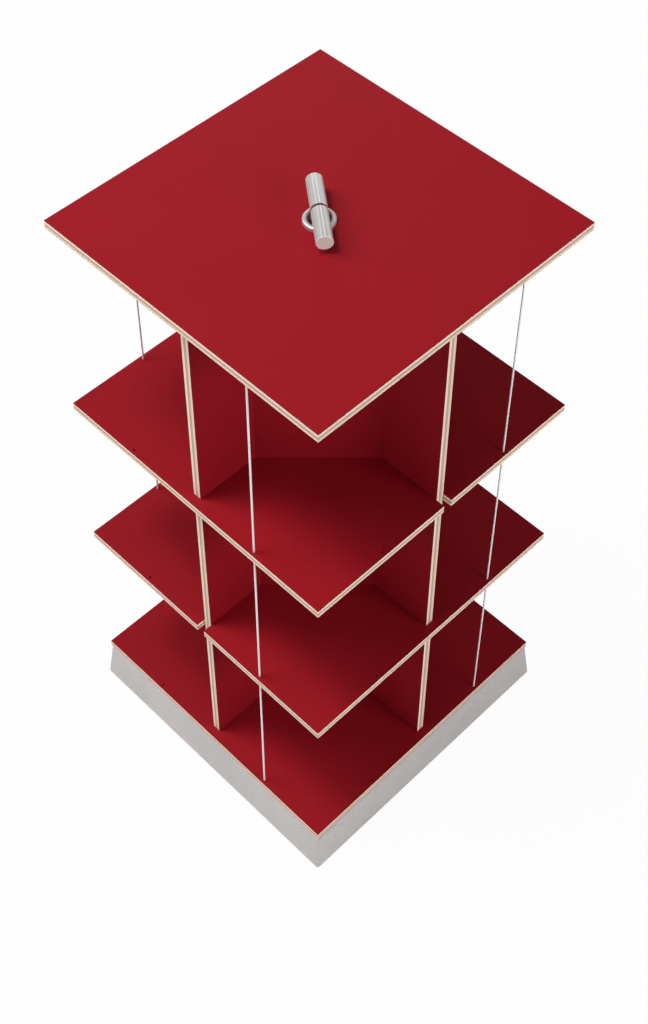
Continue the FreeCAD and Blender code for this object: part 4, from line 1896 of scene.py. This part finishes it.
    def build(self) -> None:
        """Makes the moving parts and finishes the plates and the cage."""
        self.build_screws()
        self.build_balls()
        self.build_plugs()
        refinish("turntable_lower_race", self.plate)
        refinish("turntable_upper_race", self.plate)
        refinish("turntable_ball_cage", self.plastic)


# ------------------------------------------------------------------ studio


@dataclass(frozen=True)
class SoftBox:
    """A square light that faces the tower; its angles are in degrees and its power in watts."""

    name: str
    azimuth: float
    elevation: float
    power: float
    size: float = 2.3
    distance: float = 5.0
    aim: Vector = field(default_factory=lambda: Vector((0, 0, 0.6)))

    def light(self) -> None:
        """Sets it up."""
        lamp = bpy.data.lights.new(self.name, "AREA")
        lamp.shape, lamp.size, lamp.energy = "SQUARE", self.size, self.power
        back = towards(math.radians(self.azimuth), math.radians(self.elevation))
        place = Matrix.Translation(self.aim + back * self.distance)
        placed(lamp, self.name).matrix_world = place @ back.to_track_quat("Z", "Y").to_matrix().to_4x4()


@dataclass
class Studio:
    """The pale floor, the soft lights and the camera, whose focal length is in pixels of frame_height."""

    floor_half: float = 9.0
    floor_tone: Colour = (0.62, 0.62, 0.62)
    paper: Colour = (1.0, 1.0, 1.0)
    paper_share: float = 0.97
    grain_scale: float = 900.0
    room: Colour = (0.50, 0.51, 0.53)
    room_level: float = 0.067
    azimuth: float = 3.925877
    elevation: float = 0.825782
    roll: float = 0.004346
    distance: float = 3.02104
    target: Vector = field(default_factory=lambda: Vector((0.23020, 0.21962, 0.6)))
    focal: float = 1725.75
    centre_height: float = 330.0
    frame_height: float = 1024.0
    boxes: tuple[SoftBox, ...] = (
        SoftBox("key", 143, 71, 118, size=1.1),
        SoftBox("left_fill", 122, 45, 134),
        SoftBox("side_fill", 174, 18, 52),
        SoftBox("front_fill", 220, 25, 15.7),
        SoftBox("right_fill", 280, 20, 132),
        SoftBox("back_fill", 50, 22, 40),
    )

    def build_floor(self) -> None:
        """Lays the floor, which looks like white paper and still takes the shadow."""
        graph = Graph.material("studio_paper")
        tone = graph.shade(self.floor_tone, 0.99 + graph.noise(graph.place, self.grain_scale) * 0.02)
        matt = graph.node("ShaderNodeBsdfPrincipled", {}, {"Base Color": tone, "Roughness": 0.9})
        glow = graph.node("ShaderNodeEmission", {}, {"Color": (*self.paper, 1.0), "Strength": 1.0})
        share = graph.background_rays() * self.paper_share
        graph.close(graph.node("ShaderNodeMixShader", {}, {0: share, 1: matt, 2: glow}))
        half = self.floor_half
        mesh = bpy.data.meshes.new("floor")
        mesh.from_pydata(raised(rectangle(-half, -half, half, half), 0), [], [(0, 1, 2, 3)])
        mesh.materials.append(graph.owner)
        placed(mesh, "studio_floor")

    def build_world(self) -> None:
        """Fills the room with weak light behind white paper."""
        graph = Graph(bpy.data.worlds.new("studio_room"))
        weak = {"Color": (*self.room, 1.0), "Strength": self.room_level}
        white = {"Color": (*self.paper, 1.0), "Strength": 1.0}
        sides = [graph.node("ShaderNodeBackground", {}, inputs) for inputs in (weak, white)]
        mixed = graph.node("ShaderNodeMixShader", {}, {0: graph.background_rays(), 1: sides[0], 2: sides[1]})
        bpy.context.scene.world = graph.close(mixed)

    def build_camera(self) -> None:
        """Sets up the camera."""
        back = towards(self.azimuth, self.elevation)
        right = (-back).cross(Vector((0, 0, 1))).normalized()
        roll = Matrix.Rotation(self.roll, 3, back)
        camera = bpy.data.cameras.new("camera")
        camera.lens = self.focal / self.frame_height * camera.sensor_width
        camera.shift_y = (self.centre_height - self.frame_height / 2) / self.frame_height
        place = Matrix((roll @ right, roll @ right.cross(-back), back)).transposed().to_4x4()
        place.translation = self.target + back * self.distance
        made = placed(camera, "camera")
        made.matrix_world = place
        bpy.context.scene.camera = made

    def build(self) -> None:
        """Sets up the studio."""
        bpy.context.scene.view_settings.view_transform = "Standard"
        self.build_floor()
        self.build_world()
        for box in self.boxes:
            box.light()
        self.build_camera()
        log.info("studio: %d lights", len(self.boxes))


def main() -> None:
    """Builds the tower's sub-assemblies in order, then the studio."""
    logging.basicConfig(level=logging.INFO, format="%(name)s: %(message)s")
    ply = LaminatedPly("laminated_birch_ply").material()
    concrete = CastConcrete("cast_concrete").material()
    rod_steel = BrushedMetal("drawn_rod", (0.960, 0.935, 0.910), Brushing.UPRIGHT, 0.08).material()
    # The bar's bands are partly painted reflection streaks, and its end faces are painted light as a painted
    # highlight.
    bar_steel = BrushedMetal(
        "brushed_bar",
        (0.480, 0.472, 0.462),
        Brushing.LENGTHWISE,
        0.3,
        bearing=TowerSizes.bearing,
        mark_and_reflection_banding=0.50,
        end_highlight_at=Handle.bar_half,
    ).material()
    # The bush's pinkish tint is a painted reflection of the red top board around it.
    bush_steel = BrushedMetal("turned_bush", (0.430, 0.385, 0.380), Brushing.TURNED, 0.5).material()
    zinc = ZincPlate("zinc_plate").material()
    yellow_zinc = ZincPlate("yellow_zinc", warm=(0.520, 0.420, 0.200), passivated=0.55).material()
    ball_steel = PolishedSteel("bearing_steel").material()
    black_nylon = MouldedPlastic("black_nylon", (0.030, 0.031, 0.033)).material()
    grey_nylon = MouldedPlastic("grey_nylon", (0.300, 0.305, 0.310)).material()
    dyed_cord = BraidedCord("braided_cord").material()

    sizes, edge, pattern = TowerSizes(), SheetEdge(), RoundPattern()
    Boards(sizes, edge, ply).build()
    Dividers(sizes, edge, ply, pattern).build()
    Spine(sizes, edge, ply, pattern).build()
    BookStops(sizes, rod_steel, pattern).build()
    Handle(sizes, bar_steel, bush_steel, zinc, dyed_cord, Braid()).build()
    Plinth(sizes, concrete).build()
    Turntable(sizes, zinc, ball_steel, black_nylon, yellow_zinc, grey_nylon, pattern).build()
    Studio().build()


if __name__ == "__main__":
    main()
